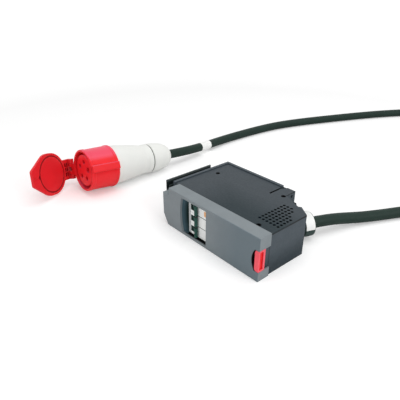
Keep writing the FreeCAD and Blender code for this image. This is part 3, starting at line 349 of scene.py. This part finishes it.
# %% Gland nut
gland_nut_start, gland_cap_start, gland_end = 10.0, 18.0, 35.0
gland_cap_radius = 18.8
label_room = 0.05
bore_gap = 0.2
gland_seat = gland_mouth - gland_end * gland_axis
gland_turn = np.degrees(np.arctan2(gland_axis[1], gland_axis[0])) - 90.0
gland_flats = 32.0


def on_gland(points):
    """Points made along Y from the gland's seat, turned square to its wall, in metres."""
    return (points @ turn_matrix("Z", gland_turn).T + gland_seat) * MM


def gland_nut_points(columns=144):
    """Radius at (along, angle): the smaller of hexagon and turned profile, and the profile on the cap."""
    hexagon_part = [(11.0, gland_nut_start), (16.6, gland_nut_start), (18.4, gland_nut_start + 1.2),
                    (18.5, gland_cap_start - 1.4), (16.9, gland_cap_start)]
    cap_side = gland_cap_radius - label_room
    cap_part = smooth_line([
        (cap_side - 0.5, gland_cap_start), (cap_side, gland_cap_start + 0.6), (cap_side, gland_end - 3.0),
        (cap_side - 0.3, gland_end - 1.4), (cap_side - 1.4, gland_end - 0.4), (cap_side - 3.2, gland_end)])
    bore = cord_diameter / 2 + bore_gap
    closing = [(bore, gland_end), (bore, gland_nut_start)]
    turned_radius, along = np.vstack([hexagon_part, cap_part, closing]).T
    angle = np.linspace(0.0, 2 * np.pi, columns, endpoint=False)
    to_flat = (angle + np.pi / 3) % (np.pi / 3) - np.pi / 6
    hexagon = gland_flats / 2 / np.cos(to_flat)
    on_hexagon = np.arange(len(along)) < len(hexagon_part)
    limit = np.where(on_hexagon[:, None], hexagon[None, :], gland_cap_radius)
    radius = np.minimum(turned_radius[:, None], limit)
    return np.stack([radius * np.cos(angle), np.broadcast_to(along[:, None], radius.shape),
                     radius * np.sin(angle)], axis=-1)


gland_nut = grid_piece("gland_nut_shell", on_gland(gland_nut_points()))
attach(gland_nut, "module")
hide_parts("gland_nut")

# %% [markdown]
# ## The screw in the gland's wall
# A black button-head screw sits high in the slanted wall beside the gland and shows over the cover's
# edge. Its head is a quarter of an ellipse, turned about the screw's axis, with a flat top.

# %% Wall screw
screw_head_radius, screw_head_height = 3.4, 4.2
screw_shank_radius, screw_shank_length = 1.8, 1.0
screw_aside, screw_up = 5.4, 40.3
dome_share = 0.75


def button_head_profile():
    """Radius and place along the axis: a short shank in the wall, then a quarter ellipse and a flat top."""
    angle = np.linspace(0.0, dome_share, 9) * np.pi / 2
    dome = np.stack([screw_head_radius * np.cos(angle), screw_head_height * np.sin(angle)], axis=-1)
    shank = [(0.0, -screw_shank_length), (screw_shank_radius, -screw_shank_length), (screw_shank_radius, 0.0)]
    return np.vstack([shank, dome, [(0.0, dome[-1, 1])]])


screw_points = turned(button_head_profile(), 32) + (screw_aside, 0.0, screw_up)
wall_screw = grid_piece("wall_screw", on_gland(screw_points), close_rows=False)
close_poles(wall_screw)
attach(wall_screw, "module")

# %% [markdown]

# %% [markdown]
# ## Colours and nodes
# A colour is easiest to write as it looks on a screen, from 0 to 255, but a shader works with light,
# so it is turned into linear values first. A finish is a small network of nodes, and one helper makes
# a node, sets it and wires it, so that each finish below reads as a short list of steps.

# %% Colour and node helpers
def colour(red, green, blue):
    """Screen values from 0 to 255 as linear light: the standard curve, x over 12.92 or a power of 2.4."""
    screen = np.array([red, green, blue]) / 255
    linear = np.where(screen <= 0.04045, screen / 12.92, ((screen + 0.055) / 1.055) ** 2.4)
    return (*linear.tolist(), 1.0)


def shade(base, factor):
    """The same colour, lighter or darker."""
    return (*[min(1.0, channel * factor) for channel in base[:3]], 1.0)


def add(tree, kind, links=None, values=None, **settings):
    """A node of that kind with its settings, its typed values and the outputs wired into it."""
    node = tree.nodes.new("ShaderNode" + kind)
    for name, value in settings.items():
        setattr(node, name, value)
    for socket, value in (values or {}).items():
        node.inputs[socket].default_value = value
    for socket, source in (links or {}).items():
        tree.links.new(source, node.inputs[socket])
    return node


def new_finish(name):
    """An empty material with its shader, and the piece's own coordinates in metres."""
    material = bpy.data.materials.new(name)
    material.use_nodes = True
    tree = material.node_tree
    tree.nodes.clear()
    shader = add(tree, "BsdfPrincipled")
    add(tree, "OutputMaterial", {"Surface": shader.outputs[0]})
    place = add(tree, "TexCoord").outputs["Object"]
    return material, tree, shader, place


def noise(tree, place, scale, detail=3.0, stretch=None):
    """Soft random clouds: scale is the number of clouds in a metre, stretch squeezes them along axes."""
    if stretch:
        place = add(tree, "Mapping", {"Vector": place}, {"Scale": stretch}).outputs[0]
    return add(tree, "TexNoise", {"Vector": place}, {"Scale": scale, "Detail": detail}).outputs[0]


def spread(tree, source, low, high, from_low=0.3, from_high=0.7):
    """The source's range carried over to the range from low to high, and clipped there."""
    limits = {"From Min": from_low, "From Max": from_high, "To Min": low, "To Max": high}
    return add(tree, "MapRange", {"Value": source}, limits).outputs[0]


def blend(tree, factor, first, second):
    """A mix of two colours, each a plain colour or the output of another node."""
    node = add(tree, "Mix", {0: factor}, data_type="RGBA")
    for socket, part in ((6, first), (7, second)):
        if isinstance(part, tuple):
            node.inputs[socket].default_value = part
        else:
            tree.links.new(part, node.inputs[socket])
    return node.outputs[2]


print("colour and node helpers ready")

# %% [markdown]
# ## Masks
# A mask is a number from 0 to 1 that says where on a piece a second colour shows. Edges and corners are
# found by the shape itself, upper sides by the way a face looks, and any other place by a box round it.
# All of them belong to the piece itself, so they move with it and hold from every side.

# %% Masks
def edge_and_corner(tree, edge_width, corner_reach):
    """Where a solid has been rubbed, and its corners, which the plastics and coats darken as painted shade
    and the metals darken with a stain: a bevel's normal differs from the face's own normal near an edge, and
    a corner is where few directions lead out of the solid."""
    bevel = add(tree, "Bevel", values={"Radius": edge_width}, samples=6)
    own = add(tree, "NewGeometry").outputs["Normal"]
    along = add(tree, "VectorMath", {0: bevel.outputs[0], 1: own}, operation="DOT_PRODUCT").outputs["Value"]
    edge = spread(tree, along, 1.0, 0.0, 0.75, 0.97)
    open_share = add(tree, "AmbientOcclusion", values={"Distance": corner_reach}, only_local=True, samples=6)
    corner = spread(tree, open_share.outputs["AO"], 1.0, 0.0, 0.15, 0.75)
    return bevel.outputs[0], edge, corner


def faces_up(tree, from_low, from_high):
    """Nothing on upright faces and one on level ones, with a soft step between the two given slopes."""
    own = add(tree, "TexCoord").outputs["Normal"]
    upward = add(tree, "SeparateXYZ", {0: own}).outputs["Z"]
    return spread(tree, upward, 0.0, 1.0, from_low, from_high)


def inside_box(tree, place, low, high, soft):
    """One inside a box and nothing outside: the largest of the three distances from the box's middle,
    each measured in half sides of the box, is below one there. The rim is soft over that share of them."""
    middle = (low + high) / 2
    half = (high - low) / 2
    scaled = add(tree, "Mapping", {"Vector": place}, {"Scale": 1 / half, "Location": -middle / half})
    sides = add(tree, "VectorMath", {0: scaled.outputs[0]}, operation="ABSOLUTE")
    x, y, z = add(tree, "SeparateXYZ", {0: sides.outputs[0]}).outputs
    flat = add(tree, "Math", {0: x, 1: y}, operation="MAXIMUM").outputs[0]
    widest = add(tree, "Math", {0: flat, 1: z}, operation="MAXIMUM").outputs[0]
    return spread(tree, widest, 1.0, 0.0, 1 - soft, 1 + soft)


def tint_boxes(tree, place, base, tinted):
    """The base colour with each tinted box laid over it in turn."""
    for low, high, tint, soft in tinted:
        base = blend(tree, inside_box(tree, place, low, high, soft), base, tint)
    return base


print("masks ready")

# %% [markdown]
# ## Moulded plastic
# The bezel, the breaker, the latch and the connector are injection mouldings. Close up, a moulding
# has faint flow clouds, a fine spark-eroded grain and edges that have been rubbed lighter, and its
# corners are darkened with painted shade. The grain is only bump, because a real one has the same
# colour all over. The connector's red parts get a paler pink on their upper faces, a painted sheen.

# %% Moulded plastic
def moulded(name, base, roughness=0.45, grain_scale=2600, grain_height=0.04 * MM, cloud=0.06, rub=1.18,
            painted_corner_shade=0.55, gloss=0.0, shine=0.3, painted_top_sheen=None, tinted=()):
    """Clouds of the base colour, a painted sheen on the upper side, lighter rubbed edges, corners
    darkened as painted shade, tinted boxes and a fine grain."""
    material, tree, shader, place = new_finish(name)
    normal, edge, corner = edge_and_corner(tree, 0.7 * MM, 6 * MM)
    clouds = spread(tree, noise(tree, place, 38.0, 4.0), 0.0, 1.0)
    body = blend(tree, clouds, shade(base, 1 - cloud), shade(base, 1 + cloud))
    # Upper faces take a paler colour, a painted sheen of the light from above.
    if painted_top_sheen:
        body = blend(tree, faces_up(tree, 0.68, 0.82), body, painted_top_sheen)
    worn = add(tree, "Math", {0: edge, 1: noise(tree, place, 220.0)}, operation="MULTIPLY").outputs[0]
    body = blend(tree, worn, body, shade(base, rub))
    # Corners are darkened as painted shade.
    body = blend(tree, corner, body, shade(base, painted_corner_shade))
    tree.links.new(tint_boxes(tree, place, body, tinted), shader.inputs["Base Color"])
    scuffs = spread(tree, noise(tree, place, 130.0, 6.0), roughness - 0.06, roughness + 0.08)
    tree.links.new(scuffs, shader.inputs["Roughness"])
    grain = noise(tree, place, grain_scale, 2.0)
    bump = add(tree, "Bump", {"Height": grain, "Normal": normal}, {"Strength": 0.5, "Distance": grain_height})
    tree.links.new(bump.outputs[0], shader.inputs["Normal"])
    shader.inputs["Specular IOR Level"].default_value = shine
    if gloss:
        shader.inputs["Coat Weight"].default_value = gloss
        shader.inputs["Coat Roughness"].default_value = 0.25
    return material


print("moulded plastic ready")

# %% [markdown]
# ## Places with a tint of their own
# Some places are tinted. The pocket beside the latch, the window's sill, the well, the handle slots,
# the gaps between the poles and the bezel's front towards its right end are darkened with painted
# shade, the latch's grip slot is a stronger red, and a grey strip runs along the left edge of the
# breaker's nose. Each such place is a box, measured in millimetres from the boxes of the solids
# themselves. A narrow rim gives a sharp place and a wide one a gradual change.

# %% Tinted places on the mouldings
def in_mm(corners):
    """The two corners of a box, in millimetres."""
    return np.array(corners) / MM


def tint_place(x, y, z, tint, soft=0.02):
    """A tinted box: its range along X, Y and Z in millimetres, its colour and the softness of its rim."""
    low, high = np.transpose([x, y, z]) * MM
    return low, high, tint, soft


def about(middle, reach):
    """The range that reaches equally far to both sides of a middle."""
    return middle - reach, middle + reach


everywhere = about(0.0, 500.0)
# Nearly black, for painted shade in pockets, the window's sill and the cover's seam.
painted_shade_black = colour(16, 20, 21)
bezel_low, bezel_high = in_mm(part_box("front_bezel"))
latch_low, latch_high = in_mm(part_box("release_latch"))
bezel_face, bezel_right = bezel_low[1], bezel_high[0]
pole_low, _ = in_mm(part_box("breaker_pole_1"))
pole_face = pole_low[1]
window_left = in_mm(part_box("finger_well"))[1][0]
window_width, window_bottom = 45.0, 4.5
window_right = window_left + window_width
slots_end = window_left + 20.0
pole_skin = (pole_face - 1.0, pole_face + 0.6)
slot_inset = 2.3

# Painted shade: the pocket beside the latch is nearly black.
latch_pocket_shade = tint_place((latch_low[0] - 8.0, latch_low[0]), (bezel_face + 0.8, bezel_high[1] + 1.0),
                          (latch_low[2] - 0.2, latch_high[2] + 0.2), painted_shade_black)
grip_slot = tint_place((bezel_right - 2.0, bezel_right - 0.5), (bezel_face + slot_inset, bezel_face + 8.5),
                       (latch_low[2] + slot_inset, latch_high[2] - slot_inset), colour(236, 22, 30))
# Painted shade: the bezel's front face darkens towards its right end.
bezel_end_shade = tint_place(about(bezel_right, 70.0), about(bezel_face, 1.0), everywhere,
                        colour(105, 118, 125), soft=0.45)
# Painted shade: the sill under the breaker's window is nearly black.
window_sill_shade = tint_place((window_left - 3.0, window_right), (bezel_face + 1.8, bezel_face + 20.0),
                         (1.0, window_bottom + 0.3), painted_shade_black)
# Painted shade: the well darkens with its depth.
well_shade = tint_place(everywhere, (bezel_face + 7.0, bezel_face + 27.0), everywhere, colour(4, 30, 26),
                        soft=0.22)
# Painted shade: the inside of the handle slots is darkened.
handle_slot_shade = tint_place((window_left + 4.8, slots_end), (pole_face + 0.3, pole_face + 13.0), everywhere,
                          colour(84, 106, 101))
nose_strip = tint_place((window_left - 1.0, window_left + 5.0), pole_skin, everywhere, colour(184, 188, 189))
# Painted shade: dark lines where the poles meet, and dark ends of the handles' paddles, stand in for the
# shade in the gaps between them.
seam_heights = sorted(in_mm(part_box("breaker_pole_%d" % number))[0][2] for number in (1, 2, 3))[1:]
pole_gap_shade = [tint_place((slots_end, window_right), pole_skin, about(height, 0.6), colour(112, 116, 116))
              for height in seam_heights]
handle_gap_shade = [tint_place(everywhere, everywhere, about(height, 1.3), colour(4, 24, 20))
                 for height in seam_heights]
print("pole seams:", len(pole_gap_shade), "handle joints:", len(handle_gap_shade))

# %% [markdown]
# ## The mouldings' colours
# Each plastic slot of the record gets a moulding of its own colour. The connector's shells share a finer
# grain than the rest, and the red collar and the red lid share their gloss.

# %% Mouldings
fine_grain = {"grain_scale": 3200, "grain_height": 0.02 * MM}
red_shell = {"cloud": 0.04, "rub": 1.1, "painted_corner_shade": 0.3, "gloss": 0.1, "shine": 0.2, **fine_grain}
finishes = {
    "bezel_plastic": moulded("bezel_grey", colour(126, 134, 138), 0.46, grain_scale=2400,
                             grain_height=0.06 * MM, painted_corner_shade=0.12,
                             tinted=[bezel_end_shade, latch_pocket_shade, window_sill_shade]),
    "well_dark": moulded("well_dark_green", colour(74, 98, 108), 0.5, shine=0.08, tinted=[well_shade]),
    "latch_red": moulded("latch_red", colour(254, 86, 100), 0.42, cloud=0.04, gloss=0.15,
                         tinted=[grip_slot]),
    # The paler pink on the upper faces is a painted sheen.
    "connector_red": moulded("connector_red", colour(246, 40, 48), 0.34, painted_top_sheen=colour(244, 78, 104),
                             **red_shell),
    "connector_white": moulded("connector_white", colour(240, 241, 237), 0.42, cloud=0.015, rub=1.02,
                               painted_corner_shade=0.8, **fine_grain),
    "breaker_plastic": moulded("breaker_white", colour(248, 251, 249), 0.5, cloud=0.03, painted_corner_shade=0.6,
                               tinted=[handle_slot_shade, nose_strip, *pole_gap_shade]),
    "handle_dark": moulded("handle_green_black", colour(30, 76, 66), 0.4, tinted=handle_gap_shade),
    "plug_plastic": moulded("plug_black", colour(38, 42, 44), 0.5),
    "gland_plastic": moulded("gland_black", colour(36, 58, 54), 0.48),
}
lid_red = moulded("lid_red", colour(228, 37, 45), 0.36, **red_shell)
print("mouldings:", len(finishes) + 1)

# %% [markdown]
# ## Powder coat on sheet steel
# The case is folded steel with a baked powder coat. The powder flows together into small shallow
# humps, called orange peel, and it is thin on the folds, where the coat looks a little lighter. The
# lower half of the walls, the cover's front right part, its upright cut edges and the corners are
# darkened with painted shade, and a painted shadow runs under the cover's edge. The rail is darker
# still, with a painted highlight along its top rim.

# %% Powder coat
def powder_coat(name, base, roughness=0.5, rub=1.25, peel_height=0.05 * MM, shine=0.22, cut_edge_shade=1.0,
                lower_half_shade=None, corner_shade=0.85, tinted=()):
    """Orange peel from two sizes of clouds, a faint mottling, paler folds, corners darkened as painted
    shade, painted shade on the upright cut edges of a flat sheet, a lower half darkened with painted
    shade, and tinted boxes."""
    material, tree, shader, place = new_finish(name)
    normal, edge, corner = edge_and_corner(tree, 0.9 * MM, 8 * MM)
    mottle = spread(tree, noise(tree, place, 90.0, 5.0), 0.0, 1.0)
    coat = blend(tree, mottle, shade(base, 0.93), shade(base, 1.07))
    # The lower half is darkened with painted shade.
    if lower_half_shade:
        height = add(tree, "SeparateXYZ", {0: place}).outputs["Z"]
        low_half = spread(tree, height, 1.0, 0.0, 10 * MM, 38 * MM)
        lower = blend(tree, mottle, shade(lower_half_shade, 0.93), shade(lower_half_shade, 1.07))
        coat = blend(tree, low_half, coat, lower)
    worn = add(tree, "Math", {0: edge, 1: noise(tree, place, 160.0, 5.0)}, operation="MULTIPLY").outputs[0]
    coat = blend(tree, worn, coat, shade(base, rub))
    coat = blend(tree, corner, coat, shade(base, corner_shade))
    # Painted shade: every face of the sheet that doesn't face up, its cut edges, is darkened.
    if cut_edge_shade < 1.0:
        coat = blend(tree, faces_up(tree, 0.4, 0.6), shade(base, cut_edge_shade), coat)
    tree.links.new(tint_boxes(tree, place, coat, tinted), shader.inputs["Base Color"])
    tree.links.new(spread(tree, noise(tree, place, 300.0), roughness - 0.05, roughness + 0.07),
                   shader.inputs["Roughness"])
    peel = noise(tree, place, 1100.0, 2.0)
    fine = noise(tree, place, 3400.0, 1.0)
    both = add(tree, "Math", {0: fine, 2: peel}, {1: 0.4}, operation="MULTIPLY_ADD")
    bump = add(tree, "Bump", {"Height": both.outputs[0], "Normal": normal},
               {"Strength": 0.6, "Distance": peel_height})
    tree.links.new(bump.outputs[0], shader.inputs["Normal"])
    shader.inputs["Specular IOR Level"].default_value = shine
    return material


case_low, case_high = in_mm(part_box("case_base"))
cover_low, cover_high = in_mm(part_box("case_cover"))
rail_low, rail_high = in_mm(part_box("guide_rail"))
# Painted shadow: a nearly black band under the cover's edge on the right wall.
cover_seam_shadow = tint_place(about(case_high[0], 0.4), (case_low[1], case_high[1]),
                        (cover_low[2] - 1.2, cover_low[2] + 0.2), painted_shade_black)
# Painted highlight: the rail's top rim is coloured paler.
painted_rim_highlight = tint_place((rail_low[0] - 1.0, rail_low[0] + 2.4), (rail_low[1] - 1.0, rail_high[1] + 1.0),
                       (rail_high[2] - 2.8, rail_high[2] + 1.0), colour(70, 78, 78))
# Painted shade: the cover darkens towards its front right part.
darker_x = 0.25 * cover_low[0] + 0.75 * cover_high[0]
cover_front_shade = tint_place(about(darker_x, 75.0), (cover_low[1] - 60.0, cover_low[1] + 45.0), everywhere,
                          colour(25, 40, 46), soft=0.45)
coats = {
    "case_paint": powder_coat("case_coat", colour(68, 77, 84), lower_half_shade=colour(38, 50, 57),
                              tinted=[cover_seam_shadow]),
    "rail_paint": powder_coat("rail_coat", colour(30, 39, 40), 0.48, rub=2.6, corner_shade=0.3,
                              tinted=[painted_rim_highlight]),
    "black_steel": powder_coat("black_screws", colour(4, 5, 5), rub=1.3, shine=0.01),
}
finishes.update(coats)
cover_coat = powder_coat("cover_coat", colour(55, 63, 69), cut_edge_shade=0.05, tinted=[cover_front_shade])
print("coats:", len(coats) + 1)

# %% [markdown]
# ## Rubber and wire insulation
# The cord's sheath and the seals are matt rubber with a faint dusty bloom and fine marks. The single wires
# in the case have smooth coloured insulation. Both are soft, so there are no rubbed edges.

# %% Rubber
def rubber(name, base, roughness=0.55, bloom=1.5, mark_height=0.08 * MM, shine=0.2):
    """A dark body with patches of pale bloom, and small random marks."""
    material, tree, shader, place = new_finish(name)
    patches = spread(tree, noise(tree, place, 55.0, 6.0), 0.0, 0.5, 0.4, 0.75)
    body = blend(tree, patches, base, shade(base, bloom))
    tree.links.new(body, shader.inputs["Base Color"])
    tree.links.new(spread(tree, noise(tree, place, 420.0, 4.0), roughness - 0.08, roughness + 0.1),
                   shader.inputs["Roughness"])
    marks = noise(tree, place, 1500.0, 3.0)
    bump = add(tree, "Bump", {"Height": marks}, {"Strength": 0.5, "Distance": mark_height})
    tree.links.new(bump.outputs[0], shader.inputs["Normal"])
    shader.inputs["Specular IOR Level"].default_value = shine
    return material


insulation = {"roughness": 0.35, "bloom": 1.2, "mark_height": 0.03 * MM}
soft_finishes = {
    "cord_rubber": rubber("cord_sheath", colour(25, 43, 37), 0.5),
    "seal_rubber": rubber("seal_dark", colour(66, 68, 64), 0.6),
    "lid_seal": rubber("lid_seal_red", colour(138, 14, 18), bloom=1.2),
    "wire_dark": rubber("wire_black", colour(38, 36, 34), **insulation),
    "wire_blue": rubber("wire_blue", colour(34, 58, 118), **insulation),
    "wire_green": rubber("wire_green", colour(108, 158, 58), **insulation),
}
finishes.update(soft_finishes)
print("soft finishes:", len(soft_finishes))

# %% [markdown]
# ## Bare metal
# Pins, inner screws, the handles' tie and the mounting rail are zinc plated, the springs are oiled steel
# and the contacts are brass. Plating shows fine drawn lines and dull patches, and brass goes brown where
# hands have touched it. A metal has no colour of its own apart from its reflection, so the base colour
# is the reflection's tint.

# %% Metal
def bare_metal(name, base, stain, roughness=0.32):
    """Fine lines along the piece, dull patches in the roughness and a stain in some clouds."""
    material, tree, shader, place = new_finish(name)
    normal, _, corner = edge_and_corner(tree, 0.4 * MM, 3 * MM)
    cloud = spread(tree, noise(tree, place, 140.0, 6.0), 0.0, 0.6, 0.45, 0.8)
    tint = blend(tree, cloud, base, stain)
    tint = blend(tree, corner, tint, shade(stain, 0.5))
    tree.links.new(tint, shader.inputs["Base Color"])
    shader.inputs["Metallic"].default_value = 1.0
    lines = noise(tree, place, 700.0, 3.0, (1.0, 1.0, 0.04))
    tree.links.new(spread(tree, lines, roughness - 0.08, roughness + 0.14), shader.inputs["Roughness"])
    bump = add(tree, "Bump", {"Height": lines, "Normal": normal}, {"Strength": 0.3, "Distance": 0.03 * MM})
    tree.links.new(bump.outputs[0], shader.inputs["Normal"])
    return material


metals = {
    "zinc_steel": bare_metal("zinc_plate", colour(196, 198, 198), colour(150, 152, 150)),
    "contact_brass": bare_metal("turned_brass", colour(214, 178, 102), colour(140, 100, 58), 0.28),
}
finishes.update(metals)
spring_steel = bare_metal("oiled_spring_steel", colour(82, 78, 76), colour(52, 46, 44), 0.4)
print("metals:", len(metals) + 1)

# %% [markdown]
# ## Printed films
# The labels are blank white film, and a small orange mark sits on the top pole. Film is flat and
# even, with a soft fibre in the paper under it and a little yellowing in patches.

# %% Films
def film(name, base, aged):
    """Paper fibres as fine stretched clouds in the bump, and a slow patchy change of tint."""
    material, tree, shader, place = new_finish(name)
    patches = spread(tree, noise(tree, place, 70.0, 4.0), 0.0, 0.7)
    tree.links.new(blend(tree, patches, base, aged), shader.inputs["Base Color"])
    fibres = noise(tree, place, 2200.0, 4.0, (1.0, 1.0, 0.25))
    tree.links.new(spread(tree, fibres, 0.45, 0.62), shader.inputs["Roughness"])
    bump = add(tree, "Bump", {"Height": fibres}, {"Strength": 0.35, "Distance": 0.03 * MM})
    tree.links.new(bump.outputs[0], shader.inputs["Normal"])
    return material


films = {
    "label_white": film("label_film", colour(250, 251, 250), colour(242, 244, 241)),
    "marker_orange": film("marker_film", colour(246, 186, 128), colour(240, 174, 116)),
}
finishes.update(films)
print("films:", len(films))

# %% [markdown]
# ## Every piece gets its finish
# The record names a material slot for each solid, and the new pieces use the same slots. The cover is
# a sheet of its own, a shade darker than the case, the lid is a moulding of its own, a shade darker than
# the collar, and the springs are darker than the plated steel.

# %% Finishes on the pieces
def give(piece, material):
    """The finish in every material slot of a piece, or in a first slot if it has none."""
    if not piece.material_slots:
        piece.data.materials.append(material)
    for place in piece.material_slots:
        place.material = material


for row in frame["record"]["subparts"]:
    give(nodes[row["node"]], finishes[row["material_slot"]])
give(nodes["case_cover"], cover_coat)
give(nodes["connector_lid"], lid_red)
for name in ("latch_spring", "lid_spring"):
    give(nodes[name], spring_steel)

new_pieces = {power_cord: "cord_rubber", label_band: "label_white", grip: "connector_white",
              nut: "connector_white", seal: "seal_rubber", gland_nut: "gland_plastic",
              wall_screw: "black_steel"}
for piece, slot_name in new_pieces.items():
    give(piece, finishes[slot_name])

# %% [markdown]
# ## Floor and light
# The picture is a studio shot on white: the floor has no edge, and soft light from above leaves a
# faint shadow close round each piece. A floor lit to full white would lose its shadows, so the floor
# is pale and lifted a little for the camera alone, which leaves the light on the object plain. The
# lift grows with the distance from the object, where the lamps no longer reach.

# %% Floor
floor_size = 12.0
floor_grey = (0.86, 0.86, 0.86, 1)
floor_lift = 0.27
lift_near, lift_far = 0.9, 2.4


def plain_floor():
    """A pale square floor, with a small glow of its own that only the camera sees: the same all over
    near the object, then growing in step with the distance."""
    corners = np.array([[(-1, -1, 0), (1, -1, 0)], [(-1, 1, 0), (1, 1, 0)]], float) * floor_size / 2
    piece = grid_piece("floor", corners, close_rows=False, close_columns=False)
    material = bpy.data.materials.new("floor_white")
    material.use_nodes = True
    tree = material.node_tree
    tree.nodes.clear()
    pale = add(tree, "BsdfDiffuse", values={"Color": floor_grey})
    ray = add(tree, "LightPath")
    place = add(tree, "TexCoord").outputs["Object"]
    distance = add(tree, "VectorMath", {0: place}, operation="LENGTH").outputs["Value"]
    share = spread(tree, distance, floor_lift, 1.0, lift_near, lift_far)
    lift = add(tree, "Math", {0: ray.outputs["Is Camera Ray"], 1: share}, operation="MULTIPLY")
    glow = add(tree, "Emission", {"Strength": lift.outputs[0]})
    both = add(tree, "AddShader", {0: pale.outputs[0], 1: glow.outputs[0]})
    add(tree, "OutputMaterial", {"Surface": both.outputs[0]})
    give(piece, material)


plain_floor()

# %% [markdown]
# ## Lamps
# The world gives even light from all round. A large lamp above makes the soft shadows, one at the right
# brightens the red latch's side, and a weak one at the front keeps the bezel from going dull.

# %% Light
def white_world(strength):
    """Even light from all round, and plain white wherever the camera or a reflection looks past."""
    world = bpy.data.worlds.new("studio")
    bpy.context.scene.world = world
    world.use_nodes = True
    tree = world.node_tree
    tree.nodes.clear()
    plain_white = (1, 1, 1, 1)
    light = add(tree, "Background", values={"Color": plain_white, "Strength": strength})
    white = add(tree, "Background", values={"Color": plain_white, "Strength": 1.0})
    ray = add(tree, "LightPath").outputs
    through = add(tree, "Math", {0: ray["Is Glossy Ray"], 1: ray["Is Transmission Ray"]}, operation="MAXIMUM")
    seen = add(tree, "Math", {0: ray["Is Camera Ray"], 1: through.outputs[0]}, operation="MAXIMUM")
    choose = add(tree, "MixShader", {0: seen.outputs[0], 1: light.outputs[0], 2: white.outputs[0]})
    add(tree, "OutputWorld", {"Surface": choose.outputs[0]})


def soft_lamp(name, place, target, size, power):
    """A square lamp that faces the target: the larger it is, the softer its shadows."""
    data = bpy.data.lights.new(name, "AREA")
    data.size = size
    data.energy = power
    lamp = bpy.data.objects.new(name, data)
    lamp.location = place
    aim = Vector(target) - Vector(place)
    lamp.rotation_euler = aim.to_track_quat("-Z", "Y").to_euler()
    bpy.context.scene.collection.objects.link(lamp)


white_world(0.5)
soft_lamp("lamp_above", (0.1, 0.2, 1.7), (-0.05, 0.05, 0.0), 1.5, 11.0)
soft_lamp("lamp_right", (1.5, 0.1, 0.9), (0.0, 0.0, 0.05), 1.0, 9.5)
soft_lamp("lamp_front", (-0.5, -1.6, 0.7), (0.0, 0.0, 0.03), 1.2, 5.6)
print("lamps:", len(bpy.data.lights))
